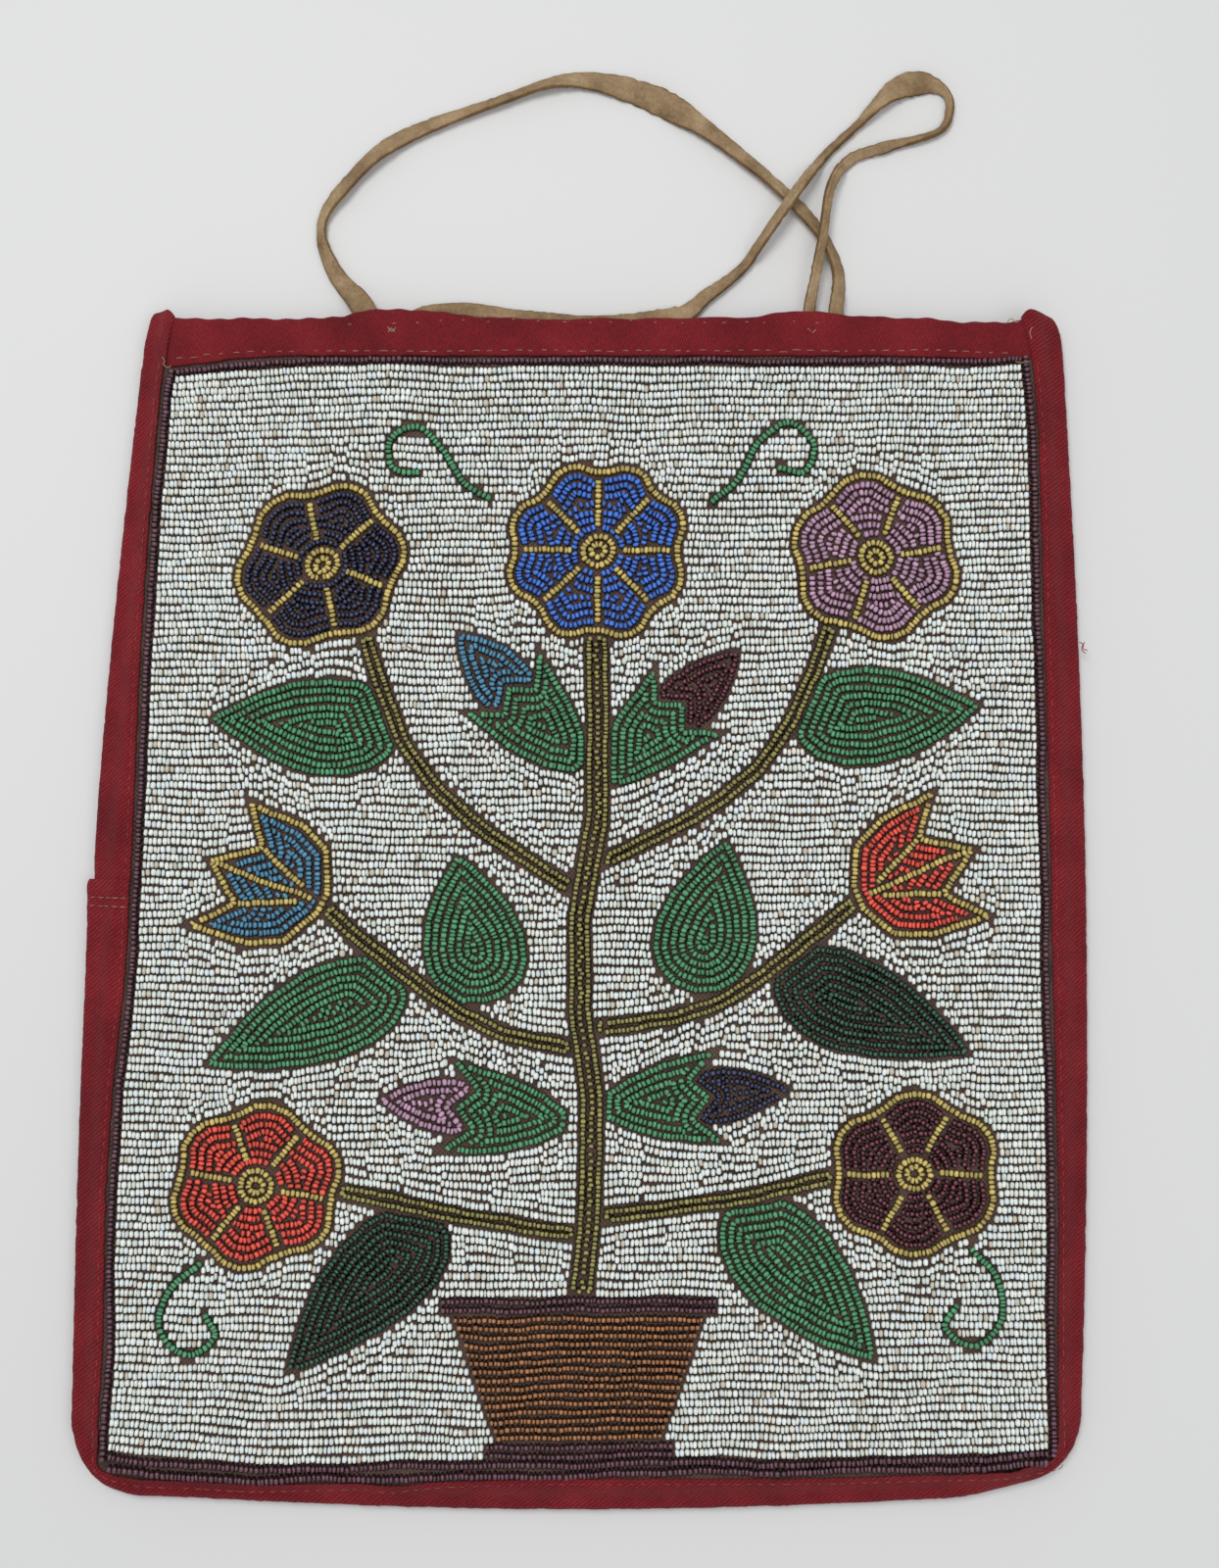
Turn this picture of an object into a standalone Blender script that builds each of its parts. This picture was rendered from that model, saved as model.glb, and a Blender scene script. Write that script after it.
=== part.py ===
"""A flat beaded bag with two hide handles, lying on its back.

Metres. +X runs across the bag, +Y from its base to its mouth, and +Z up from the hide back to the beaded
front. The origin is on the underside of the back, at the middle of the bag.
"""

from math import cos, pi, sin

import bmesh
import bpy
from mathutils import Vector

# The bag's outline
TOP_WIDTH = 0.247
BASE_WIDTH = 0.2635
HEIGHT = 0.3125
TOP_SHIFT = 0.0075
LEFT_BOW = 0.0050
RIGHT_BOW = 0.0042
BASE_BOW = 0.0035
CORNER_RADIUS = 0.022

# What it is made of, from the table up
BACK_HIDE = 0.0012
BINDING_WOOL = 0.0009
FRONT_CLOTH = 0.0008
BEAD_HEIGHT = 0.0019
MOUTH_OPENING = 0.0047
CLEARANCE = 0.0003

# The wool bindings
SIDE_BINDING = 0.0082
TOP_BINDING = 0.0120
SEAM_DROP = 0.153
SLOPE_START = 0.0020

# Rows of beads: the height of a row in the picture, the depth of the groove between two rows, and the
# wider spacing of the border's rows
ROW = 0.00214
ROW_GROOVE = 0.0009
BORDER_ROW = 0.0024
SIDE_ROWS = 1
BASE_ROWS = 2
TOP_ROWS = 1

# Widths in rows of the picture's lines
TRUNK_ROWS = 3
BRANCH_ROWS = 2
OUTLINE_ROWS = 1
RIM_ROWS = 2

# The handles
HANDLE_THICKNESS = 0.0032
HANDLE_SIDES = 2
HANDLE_STEP = 0.0070

# Detail of the meshes
WELD = 0.00001
SIDE_STATIONS = 6
ARC_STATIONS = 5
BASE_STATIONS = 6
LEAF_POINTS = 18
PETAL_POINTS = 5
DISC_POINTS = 12
STEM_STATIONS = 7

TOP_Y = HEIGHT / 2
BASE_Y = -HEIGHT / 2

# Heights of the layers over the flat middle of the bag
FACING_Z = BACK_HIDE + MOUTH_OPENING
CLOTH_Z = FACING_Z + BINDING_WOOL + CLEARANCE
CLOTH_TOP_Z = CLOTH_Z + FRONT_CLOTH
BEADS_Z = CLOTH_TOP_Z + CLEARANCE
BEADS_TOP_Z = BEADS_Z + BEAD_HEIGHT

# Heights at the side seam, where the two layers come together
SEAM_BACK_Z = BINDING_WOOL + CLEARANCE
SEAM_CLOTH_Z = SEAM_BACK_Z + BACK_HIDE + CLEARANCE

# Distances inwards from the outer edge
PANEL_EDGE = BINDING_WOOL + CLEARANCE
BORDER_START = SIDE_BINDING + CLEARANCE
FIELD_SIDE = BORDER_START + SIDE_ROWS * BORDER_ROW
FIELD_BASE_Y = BASE_Y - BASE_BOW / 2 + BORDER_START + BASE_ROWS * BORDER_ROW
BORDER_TOP_Y = TOP_Y - TOP_BINDING - CLEARANCE
FIELD_TOP_Y = BORDER_TOP_Y - TOP_ROWS * BORDER_ROW

# The picture is drawn on a grid this many units from its middle to its edges, stretched over the bead field
GRID_X, GRID_Y = 125.0, 155.0

COLOURS = {
    "wool": (0.25, 0.012, 0.022),
    "hide": (0.30, 0.20, 0.11),
    "back_hide": (0.33, 0.23, 0.13),
    "cloth": (0.10, 0.065, 0.045),
    "white": (0.70, 0.74, 0.71),
    "plum": (0.055, 0.018, 0.035),
    "green": (0.030, 0.16, 0.055),
    "dark_green": (0.012, 0.045, 0.022),
    "olive": (0.085, 0.075, 0.012),
    "ochre": (0.33, 0.24, 0.045),
    "navy": (0.012, 0.016, 0.055),
    "teal": (0.030, 0.13, 0.21),
    "blue": (0.030, 0.10, 0.42),
    "lilac": (0.36, 0.16, 0.31),
    "red": (0.52, 0.035, 0.025),
    "maroon": (0.070, 0.010, 0.020),
    "brown": (0.13, 0.045, 0.015),
}


def clear_scene():
    for obj in list(bpy.data.objects):
        bpy.data.objects.remove(obj, do_unlink=True)


def new_collection(name):
    made = bpy.data.collections.new(name)
    bpy.context.scene.collection.children.link(made)
    return made


def material(colour):
    """One material for each colour; the beads are glossy and the cloths are not."""
    found = bpy.data.materials.get(colour)
    if found:
        return found
    made = bpy.data.materials.new(colour)
    made.use_nodes = True
    shader = made.node_tree.nodes["Principled BSDF"]
    shader.inputs["Base Color"].default_value = (*COLOURS[colour], 1)
    shader.inputs["Roughness"].default_value = 0.9 if colour in ("wool", "hide", "back_hide", "cloth") else 0.3
    shader.inputs["Metallic"].default_value = 0.0
    return made


def add_object(name, mesh, colour=None):
    """Puts a mesh in the bag's collection, or in the cutters' if it has no colour."""
    obj = bpy.data.objects.new(name, mesh)
    if colour:
        obj.data.materials.append(material(colour))
        bpy.data.collections["beaded_bag"].objects.link(obj)
    else:
        obj.hide_render = True
        obj.display_type = "WIRE"
        bpy.data.collections["cutters"].objects.link(obj)
    return obj


# The bag's outline, as stations from the top left corner, round the base, to the top right corner


def side_x(side, y):
    """X of the outer edge at height y, on the left (-1) or the right (1)."""
    share = (y - BASE_Y) / HEIGHT
    bow = LEFT_BOW if side < 0 else RIGHT_BOW
    half = (BASE_WIDTH + (TOP_WIDTH - BASE_WIDTH) * share) / 2 + bow * sin(pi * share)
    return TOP_SHIFT * (share - 0.5) + side * half


def outline_stations():
    corner_y = BASE_Y + CORNER_RADIUS
    centres = [Vector((side_x(side, corner_y) - side * CORNER_RADIUS, corner_y)) for side in (-1, 1)]
    points = []
    for i in range(SIDE_STATIONS):
        y = TOP_Y + (corner_y - TOP_Y) * i / SIDE_STATIONS
        points.append(Vector((side_x(-1, y), y)))
    for i in range(ARC_STATIONS):
        turn = pi + pi / 2 * i / ARC_STATIONS
        points.append(centres[0] + CORNER_RADIUS * Vector((cos(turn), sin(turn))))
    for i in range(BASE_STATIONS):
        share = i / BASE_STATIONS
        x = centres[0].x + (centres[1].x - centres[0].x) * share
        points.append(Vector((x, BASE_Y - BASE_BOW * sin(pi * share))))
    for i in range(ARC_STATIONS):
        turn = -pi / 2 + pi / 2 * i / ARC_STATIONS
        points.append(centres[1] + CORNER_RADIUS * Vector((cos(turn), sin(turn))))
    for i in range(SIDE_STATIONS + 1):
        y = corner_y + (TOP_Y - corner_y) * i / SIDE_STATIONS
        points.append(Vector((side_x(1, y), y)))
    return points


def inward_normals(points):
    """A unit normal for each station, level at the two ends so that they stay on the mouth's line."""
    normals = [Vector((1, 0))]
    for before, after in zip(points, points[2:]):
        along = (after - before).normalized()
        normals.append(Vector((-along.y, along.x)))
    return normals + [Vector((-1, 0))]


STATIONS = outline_stations()
NORMALS = inward_normals(STATIONS)
LENGTHS = [0.0]
for start, end in zip(STATIONS, STATIONS[1:]):
    LENGTHS.append(LENGTHS[-1] + (end - start).length)


def rail(inset, first=0.0, last=None):
    """The outline moved inwards by inset, between two lengths along the outer edge."""
    last = LENGTHS[-1] if last is None else last
    moved = [p + n * inset for p, n in zip(STATIONS, NORMALS)]

    def at(length):
        i = max(k for k, before in enumerate(LENGTHS[:-1]) if before <= length)
        share = (length - LENGTHS[i]) / (LENGTHS[i + 1] - LENGTHS[i])
        return moved[i].lerp(moved[i + 1], min(share, 1.0))

    inner = [p for p, length in zip(moved, LENGTHS) if first < length < last]
    return [at(first), *inner, at(last)]


def side_run(side, inset, low_y, high_y):
    """The part of one side's inset edge between two heights, from the top down."""
    points = rail(inset)
    if side > 0:
        points.reverse()
    points = points[: SIDE_STATIONS + ARC_STATIONS + 1]

    def at(y):
        for upper, lower in zip(points, points[1:]):
            if lower.y <= y <= upper.y:
                return upper.lerp(lower, (upper.y - y) / (upper.y - lower.y))
        return points[-1]

    return [at(high_y), *[p for p in points if low_y < p.y < high_y], at(low_y)]


def field_limits(y):
    """Left and right edge of the white bead field at height y."""
    return [side_run(side, FIELD_SIDE, y, TOP_Y)[-1].x for side in (-1, 1)]


def on_field(x, y):
    """A point of the picture's grid, as a point of the bag."""
    middle = (FIELD_TOP_Y + FIELD_BASE_Y) / 2
    half = (FIELD_TOP_Y - FIELD_BASE_Y) / 2
    place_y = middle + half * y / GRID_Y
    left, right = field_limits(place_y)
    return Vector(((left + right) / 2 + (right - left) / 2 * x / GRID_X, place_y))


# Solids


def finished_mesh(name, build):
    """A mesh from a function that fills a bmesh, with its faces pointing out."""
    made = bmesh.new()
    build(made)
    bmesh.ops.recalc_face_normals(made, faces=made.faces)
    mesh = bpy.data.meshes.new(name)
    made.to_mesh(mesh)
    made.free()
    return mesh


def plate(name, outline, low_z, high_z, colour=None):
    """A flat outline with thickness: a filled 2D curve, made a mesh so that it can cut and be cut."""
    curve = bpy.data.curves.new(name, "CURVE")
    curve.dimensions = "2D"
    curve.fill_mode = "BOTH"
    curve.extrude = (high_z - low_z) / 2
    spline = curve.splines.new("POLY")
    spline.points.add(len(outline) - 1)
    for point, place in zip(spline.points, outline):
        point.co = (place.x, place.y, 0, 1)
    spline.use_cyclic_u = True
    drawn = bpy.data.objects.new(name, curve)
    bpy.context.scene.collection.objects.link(drawn)
    bpy.context.view_layer.update()
    solid = drawn.evaluated_get(bpy.context.evaluated_depsgraph_get())
    mesh = bpy.data.meshes.new_from_object(solid)
    bpy.data.objects.remove(drawn, do_unlink=True)

    def close(made):
        made.from_mesh(mesh)
        bmesh.ops.remove_doubles(made, verts=made.verts, dist=WELD)

    placed = add_object(name, finished_mesh(name, close), colour)
    placed.location.z = (low_z + high_z) / 2
    return placed


def sweep(name, profile, first, last, colour):
    """A closed profile of (inset, height) points carried along the outer edge."""

    def build(made):
        rows = [[made.verts.new((p.x, p.y, z)) for p in rail(inset, first, last)] for inset, z in profile]
        for row, following in zip(rows, rows[1:] + rows[:1]):
            for i in range(len(row) - 1):
                made.faces.new((row[i], row[i + 1], following[i + 1], following[i]))
        made.faces.new([row[0] for row in rows])
        made.faces.new([row[-1] for row in rows])

    return add_object(name, finished_mesh(name, build), colour)


def dished_sheet(name, insets, height_at, thickness, colour):
    """A panel whose three seamed margins change height, and whose middle and mouth edge are flat."""

    def build(made):
        rows = [[made.verts.new((p.x, p.y, height_at(n))) for p in rail(n)] for n in insets]
        faces = []
        for outer, inner in zip(rows, rows[1:]):
            for i in range(len(outer) - 1):
                faces.append(made.faces.new((outer[i], outer[i + 1], inner[i + 1], inner[i])))
        faces.append(made.faces.new(rows[-1]))
        bmesh.ops.recalc_face_normals(made, faces=faces)
        raised = bmesh.ops.extrude_face_region(made, geom=faces)["geom"]
        corners = [v for v in raised if isinstance(v, bmesh.types.BMVert)]
        bmesh.ops.translate(made, verts=corners, vec=(0, 0, thickness))

    return add_object(name, finished_mesh(name, build), colour)


def cut(obj, cutters):
    """Takes each cutter out of the object."""
    for cutter in cutters:
        hole = obj.modifiers.new(cutter.name, "BOOLEAN")
        hole.operation = "DIFFERENCE"
        hole.object = cutter


# Panels and bindings


def eased(share):
    """From 0 to 1 with a level start and finish."""
    share = min(max(share, 0.0), 1.0)
    return share * share * (3 - 2 * share)


def cloth_height(inset):
    """Underside of the front cloth, which climbs from the seam to the flat middle."""
    share = (inset - SLOPE_START) / (SIDE_BINDING - SLOPE_START)
    return SEAM_CLOTH_Z + (CLOTH_Z - SEAM_CLOTH_Z) * eased(share)


def back_height(inset):
    """Underside of the back hide, which lies on the table inside its bound margin."""
    share = (inset - SIDE_BINDING - CLEARANCE) / (2 * BACK_HIDE)
    return SEAM_BACK_Z * (1 - eased(share))


def slope_insets():
    step = (SIDE_BINDING - SLOPE_START) / 4
    return [PANEL_EDGE, *[SLOPE_START + step * i for i in range(5)]]


def make_panels():
    dished_sheet("front_panel", slope_insets(), cloth_height, FRONT_CLOTH, "cloth")
    margin = SIDE_BINDING + CLEARANCE
    insets = [PANEL_EDGE, margin, margin + BACK_HIDE, margin + 2 * BACK_HIDE]
    dished_sheet("back_panel", insets, back_height, BACK_HIDE, "back_hide")


def side_binding_profile():
    """A folded strip of wool: its lower flange under the back hide and its upper one on the sloping front."""
    over = FRONT_CLOTH + CLEARANCE
    insets = slope_insets()[1:]
    inside_edge = BINDING_WOOL
    inner = [(n, cloth_height(n) + over) for n in insets]
    outer = [(n, z + BINDING_WOOL) for n, z in inner]
    seam_top = SEAM_CLOTH_Z + over
    middle = seam_top / 2
    lower = [(SIDE_BINDING, 0.0), (SIDE_BINDING, BINDING_WOOL), (inside_edge, BINDING_WOOL)]
    rounded = [(inside_edge / 2, seam_top + BINDING_WOOL / 2), (0.0, middle), (inside_edge / 2, BINDING_WOOL / 4)]
    return [*reversed(outer), *rounded, (inside_edge * 2, 0.0), *lower, (inside_edge, seam_top), *inner]


def make_side_bindings():
    profile = side_binding_profile()
    whole = LENGTHS[-1]
    corner_end = LENGTHS[SIDE_STATIONS + 2 * ARC_STATIONS + BASE_STATIONS]
    sweep("left_upper_binding", profile, 0.0, SEAM_DROP - CLEARANCE, "wool")
    sweep("lower_binding", profile, SEAM_DROP, corner_end - CLEARANCE, "wool")
    sweep("right_binding", profile, corner_end, whole, "wool")


def make_top_binding():
    """A strip folded over the front cloth's mouth edge, between the two side bindings."""
    left, right = (side_x(side, TOP_Y) - side * (SIDE_BINDING + CLEARANCE) for side in (-1, 1))
    over_z = CLOTH_TOP_Z + CLEARANCE
    fold_y = TOP_Y + CLEARANCE
    section = [
        (TOP_Y - TOP_BINDING, FACING_Z),
        (fold_y + BINDING_WOOL / 2, FACING_Z),
        (fold_y + BINDING_WOOL, FACING_Z + BINDING_WOOL / 2),
        (fold_y + BINDING_WOOL, over_z + BINDING_WOOL / 2),
        (fold_y + BINDING_WOOL / 2, over_z + BINDING_WOOL),
        (TOP_Y - TOP_BINDING, over_z + BINDING_WOOL),
        (TOP_Y - TOP_BINDING, over_z),
        (fold_y, over_z),
        (fold_y, FACING_Z + BINDING_WOOL),
        (TOP_Y - TOP_BINDING, FACING_Z + BINDING_WOOL),
    ]

    def build(made):
        face = made.faces.new([made.verts.new((left, y, z)) for y, z in section])
        moved = bmesh.ops.extrude_face_region(made, geom=[face])["geom"]
        corners = [v for v in moved if isinstance(v, bmesh.types.BMVert)]
        bmesh.ops.translate(made, verts=corners, vec=(right - left, 0, 0))

    add_object("top_binding", finished_mesh("top_binding", build), "wool")


# The plum bead border


def make_border():
    beads = (BEADS_Z, BEADS_TOP_Z)
    inner = FIELD_SIDE - CLEARANCE
    for side, name in ((-1, "left_border"), (1, "right_border")):
        outside = side_run(side, BORDER_START, FIELD_BASE_Y, FIELD_TOP_Y)
        inside = side_run(side, inner, FIELD_BASE_Y, FIELD_TOP_Y)
        plate(name, [*outside, *reversed(inside)], *beads, "plum")
    shelf_y = FIELD_BASE_Y - CLEARANCE
    round_base = [p for p in rail(BORDER_START) if p.y < shelf_y]
    ends = [side_run(side, BORDER_START, shelf_y, TOP_Y)[-1] for side in (-1, 1)]
    plate("base_border", [ends[0], *round_base, ends[1]], *beads, "plum")
    high = [side_run(side, BORDER_START, BORDER_TOP_Y, TOP_Y)[-1] for side in (-1, 1)]
    low = [side_run(side, BORDER_START, FIELD_TOP_Y + CLEARANCE, TOP_Y)[-1] for side in (1, -1)]
    plate("top_border", [*high, *low], *beads, "plum")


# The beaded picture. Each shape is a list of points of the grid, mapped onto the field


def grown(outline, distance):
    """A closed outline moved outwards by a distance, or inwards if it is negative."""
    area = sum(a.x * b.y - b.x * a.y for a, b in zip(outline, outline[1:] + outline[:1]))
    turn = 1 if area > 0 else -1
    moved = []
    for i, here in enumerate(outline):
        before, after = outline[i - 1], outline[(i + 1) % len(outline)]
        first = (here - before).normalized()
        second = (after - here).normalized()
        out = Vector((first.y + second.y, -first.x - second.x)) * turn
        out.normalize()
        square = Vector((first.y, -first.x)) * turn
        moved.append(here + out * distance / max(out.dot(square), 0.5))
    return moved


def smooth_line(points, count):
    """Count + 1 points on one smooth curve through the given ones."""
    ends = [2 * points[0] - points[1], *points, 2 * points[-1] - points[-2]]
    spans = len(points) - 1
    line = []
    for i in range(count + 1):
        place = min(i * spans / count, spans - 1e-9)
        k, t = int(place), place - int(place)
        a, b, c, d = ends[k : k + 4]
        line.append(0.5 * (2 * b + (c - a) * t + (2 * a - 5 * b + 4 * c - d) * t**2 + (3 * b - a - 3 * c + d) * t**3))
    return line


def ribbon(line, width):
    """The outline of a band along a line."""
    left, right = [], []
    for i, here in enumerate(line):
        along = (line[min(i + 1, len(line) - 1)] - line[max(i - 1, 0)]).normalized()
        across = Vector((-along.y, along.x)) * width / 2
        left.append(here + across)
        right.append(here - across)
    return [*left, *reversed(right)]


def teardrop(base, tip, width):
    """A leaf: round at its base and pointed at its tip."""
    along = tip - base
    across = Vector((-along.y, along.x)).normalized() * width / 2
    outline = []
    for i in range(LEAF_POINTS):
        turn = 2 * pi * i / LEAF_POINTS
        share = (1 + cos(turn)) / 2
        outline.append(base + along * share + across * 1.3 * sin(turn) * sin(turn / 2) ** 0.9)
    return outline


def rosette(centre, radius, petals, turn):
    """A round flower with scalloped petals."""
    outline = []
    for i in range(petals * PETAL_POINTS):
        angle = 2 * pi * i / (petals * PETAL_POINTS)
        scallop = abs(cos(angle * petals / 2))
        reach = radius * (0.80 + 0.20 * scallop**0.6)
        outline.append(centre + reach * Vector((cos(angle + turn), sin(angle + turn))))
    return outline


def disc(centre, radius):
    turns = [2 * pi * i / DISC_POINTS for i in range(DISC_POINTS)]
    return [centre + radius * Vector((cos(turn), sin(turn))) for turn in turns]


# Half of each drawn shape, as (across, along) shares of its size, from its foot to its middle at the far end
CUP_HALF = [(0.10, 0.0), (0.42, 0.16), (0.56, 0.45), (0.60, 1.0), (0.26, 0.72), (0.0, 1.08)]
CALYX_HALF = [(0.05, 0.0), (0.14, 0.14), (0.20, 0.32), (0.26, 0.66), (0.10, 0.50), (0.0, 0.60)]
# Where a bud's coloured tip starts and ends along it, and its width, as shares of the bud's size
BUD_TIP = (0.40, 1.0, 0.30)


def drawn_shape(half, foot, size, turn):
    """A shape with two like halves, its foot at a point and its far end along turn."""
    along = Vector((cos(turn), sin(turn))) * size
    across = Vector((along.y, -along.x))
    right = [foot + across * x + along * y for x, y in half]
    left = [foot - across * x + along * y for x, y in half if x]
    return [*right, *reversed(left)]


def mapped(outline):
    return [on_field(p.x, p.y) for p in outline]


def stem_line(points):
    return mapped(smooth_line([Vector(p) for p in points], STEM_STATIONS))


# Each flower: name, colour, middle, radius, petals, turn of its first petal
ROSETTES = [
    ("crown_flower", "blue", (0, 101), 27, 8, 0.39),
    ("left_high_flower", "navy", (-78, 97), 25, 6, 0.20),
    ("right_high_flower", "lilac", (79, 99), 25, 6, 0.70),
    ("left_low_flower", "red", (-87, -80), 24, 6, 0.35),
    ("right_low_flower", "maroon", (89, -77), 24, 6, 0.52),
]
# Each cup: name, colour, foot, size, direction of its mouth
CUPS = [
    ("left_cup", "teal", (-71, -1), 34, 2.75),
    ("right_cup", "red", (72, 1), 34, 0.40),
]
# Each bud: name, colour of its tip, foot, size, direction of its tip
BUDS = [
    ("high_left_bud", "teal", (-3, 38), 54, 2.30),
    ("high_right_bud", "maroon", (3, 34), 54, 0.80),
    ("low_left_bud", "lilac", (-4, -62), 52, 3.02),
    ("low_right_bud", "navy", (4, -58), 52, 0.10),
]
# Each stem's points, from where it grows
TRUNK = [(0, -118), (3, -62), (-3, -18), (2, 30), (0, 80)]
BRANCHES = [
    ("left_high_branch", [(0, 2), (-26, 18), (-50, 42), (-66, 80)]),
    ("right_high_branch", [(0, 10), (28, 24), (52, 46), (67, 82)]),
    ("left_mid_branch", [(0, -42), (-26, -36), (-50, -20), (-72, -1)]),
    ("right_mid_branch", [(0, -36), (28, -32), (52, -18), (73, 1)]),
    ("left_low_branch", [(0, -94), (-22, -90), (-44, -86), (-68, -80)]),
    ("right_low_branch", [(0, -90), (24, -86), (46, -83), (70, -77)]),
]
# Each leaf: name, colour, foot, tip, width
LEAVES = [
    ("left_leaf_1", "green", (-53, 48), (-106, 53), 28),
    ("right_leaf_1", "green", (55, 51), (108, 56), 28),
    ("left_leaf_2", "green", (-27, -29), (-36, 14), 28),
    ("right_leaf_2", "green", (29, -26), (37, 18), 28),
    ("left_leaf_3", "green", (-49, -22), (-102, -46), 27),
    ("right_leaf_3", "dark_green", (51, -20), (104, -43), 27),
    ("left_leaf_4", "dark_green", (-38, -88), (-78, -131), 27),
    ("right_leaf_4", "green", (40, -85), (80, -129), 27),
]
BOWL_TOP, BOWL_HALF_TOP, BOWL_HALF_FOOT = -116, 34, 22
RIM_HALF, FOOT_HALF = 37, 25
EYE_RADIUS = 5.5


def make_picture():
    """The motifs, each a pad of its own, and the pockets that they leave in the white field."""
    past = (BEADS_Z - BEAD_HEIGHT, BEADS_TOP_Z + BEAD_HEIGHT)
    pockets = []

    def pocket(name, outline):
        pockets.append(plate(f"{name}_pocket", grown(outline, CLEARANCE), *past))
        return pockets[-1]

    def pad(name, outline, colour, cutters=()):
        made = plate(name, outline, BEADS_Z, BEADS_TOP_Z, colour)
        cut(made, cutters)

    def outlined(name, outline, colour, eye=None):
        """A flower's petals in its ochre outline, round its ochre eye if it has one."""
        inside = grown(outline, -OUTLINE_ROWS * ROW)
        pad(f"{name}_outline", outline, "ochre", [plate(f"{name}_hole", inside, *past)])
        holes = []
        if eye:
            holes.append(plate(f"{name}_eye_hole", grown(eye, CLEARANCE), *past))
            pad(f"{name}_eye", eye, "ochre")
        pad(f"{name}_petals", grown(inside, -CLEARANCE), colour, holes)
        return pocket(name, outline)

    blooms = []
    for name, colour, centre, radius, petals, turn in ROSETTES:
        outline = mapped(rosette(Vector(centre), radius, petals, turn))
        blooms.append(outlined(name, outline, colour, mapped(disc(Vector(centre), EYE_RADIUS))))
    for name, colour, foot, size, turn in CUPS:
        blooms.append(outlined(name, mapped(drawn_shape(CUP_HALF, Vector(foot), size, turn)), colour))

    rim = make_bowl(pad, pocket)
    trunk = ribbon(stem_line(TRUNK), TRUNK_ROWS * ROW)
    pad("trunk", trunk, "olive", [*rim, *blooms])
    stems = [pocket("trunk", trunk)]
    for name, points in BRANCHES:
        outline = ribbon(stem_line(points), BRANCH_ROWS * ROW)
        pad(name, outline, "olive", [stems[0], *blooms])
        stems.append(pocket(name, outline))
    for name, colour, foot, tip, width in LEAVES:
        outline = mapped(teardrop(Vector(foot), Vector(tip), width))
        pad(name, outline, colour, stems)
        pocket(name, outline)
    for name, colour, foot, size, turn in BUDS:
        calyx = mapped(drawn_shape(CALYX_HALF, Vector(foot), size, turn))
        pad(f"{name}_calyx", calyx, "green", stems)
        covered = pocket(f"{name}_calyx", calyx)
        along = Vector((cos(turn), sin(turn))) * size
        start, end, width = BUD_TIP
        tip = mapped(teardrop(Vector(foot) + along * start, Vector(foot) + along * end, size * width))
        pad(f"{name}_tip", tip, colour, [covered])
        pocket(f"{name}_tip", tip)
    return pockets


def make_bowl(pad, pocket):
    """A plain brown bowl on the field's base line, with a plum rim and foot. Returns the rim's pocket."""
    band = RIM_ROWS * ROW
    foot_top = FIELD_BASE_Y + band
    body_base = foot_top + CLEARANCE
    body_top = on_field(0, BOWL_TOP).y
    rim_base = body_top + CLEARANCE

    def four_sided(low_y, low_half, high_y, high_half):
        scale = (on_field(1, BOWL_TOP) - on_field(0, BOWL_TOP)).x
        middle = on_field(0, BOWL_TOP).x
        corners = ((-low_half, low_y), (low_half, low_y), (high_half, high_y), (-high_half, high_y))
        return [Vector((middle + scale * x, y)) for x, y in corners]

    foot = four_sided(FIELD_BASE_Y, FOOT_HALF, foot_top, FOOT_HALF)
    body = four_sided(body_base, BOWL_HALF_FOOT, body_top, BOWL_HALF_TOP)
    rim = four_sided(rim_base, RIM_HALF, rim_base + band, RIM_HALF)
    open_foot = four_sided(FIELD_BASE_Y - band, FOOT_HALF, foot_top, FOOT_HALF)
    pad("bowl_foot", foot, "plum")
    pad("bowl", body, "brown")
    pad("bowl_rim", rim, "plum")
    pocket("bowl_foot", open_foot)
    return [pocket("bowl", body), pocket("bowl_rim", rim)]


def ridge(field, low_y, high_y):
    """Makes the level top of the field a ridge for each row of beads, with a groove between each two."""
    half_rows = 2 * round((high_y - low_y) / ROW)
    step = (high_y - low_y) / half_rows
    made = bmesh.new()
    made.from_mesh(field.data)
    top = max(corner.co.z for corner in made.verts) - WELD
    level = [face for face in made.faces if all(corner.co.z > top for corner in face.verts)]
    bmesh.ops.dissolve_faces(made, faces=level)
    for line in range(1, half_rows):
        faces = [face for face in made.faces if all(corner.co.z > top for corner in face.verts)]
        edges = {edge for face in faces for edge in face.edges}
        corners = {corner for face in faces for corner in face.verts}
        parts = [*corners, *edges, *faces]
        place = (0, low_y + line * step, 0)
        bmesh.ops.bisect_plane(made, geom=parts, dist=1e-7, plane_co=place, plane_no=(0, 1, 0))
    for corner in made.verts:
        if corner.co.z > top:
            share = (corner.co.y - low_y) / step % 2
            corner.co.z -= ROW_GROOVE * abs(1 - share)
    made.to_mesh(field.data)
    made.free()


def make_field(pockets):
    left, right = (side_run(side, FIELD_SIDE, FIELD_BASE_Y, FIELD_TOP_Y) for side in (-1, 1))
    field = plate("white_beads", [*left, *reversed(right)], BEADS_Z, BEADS_TOP_Z, "white")
    ridge(field, FIELD_BASE_Y, FIELD_TOP_Y)
    cut(field, pockets)


# The handles. Each route is (x, y, height of its middle) from inside the mouth, round its loop and back

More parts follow.
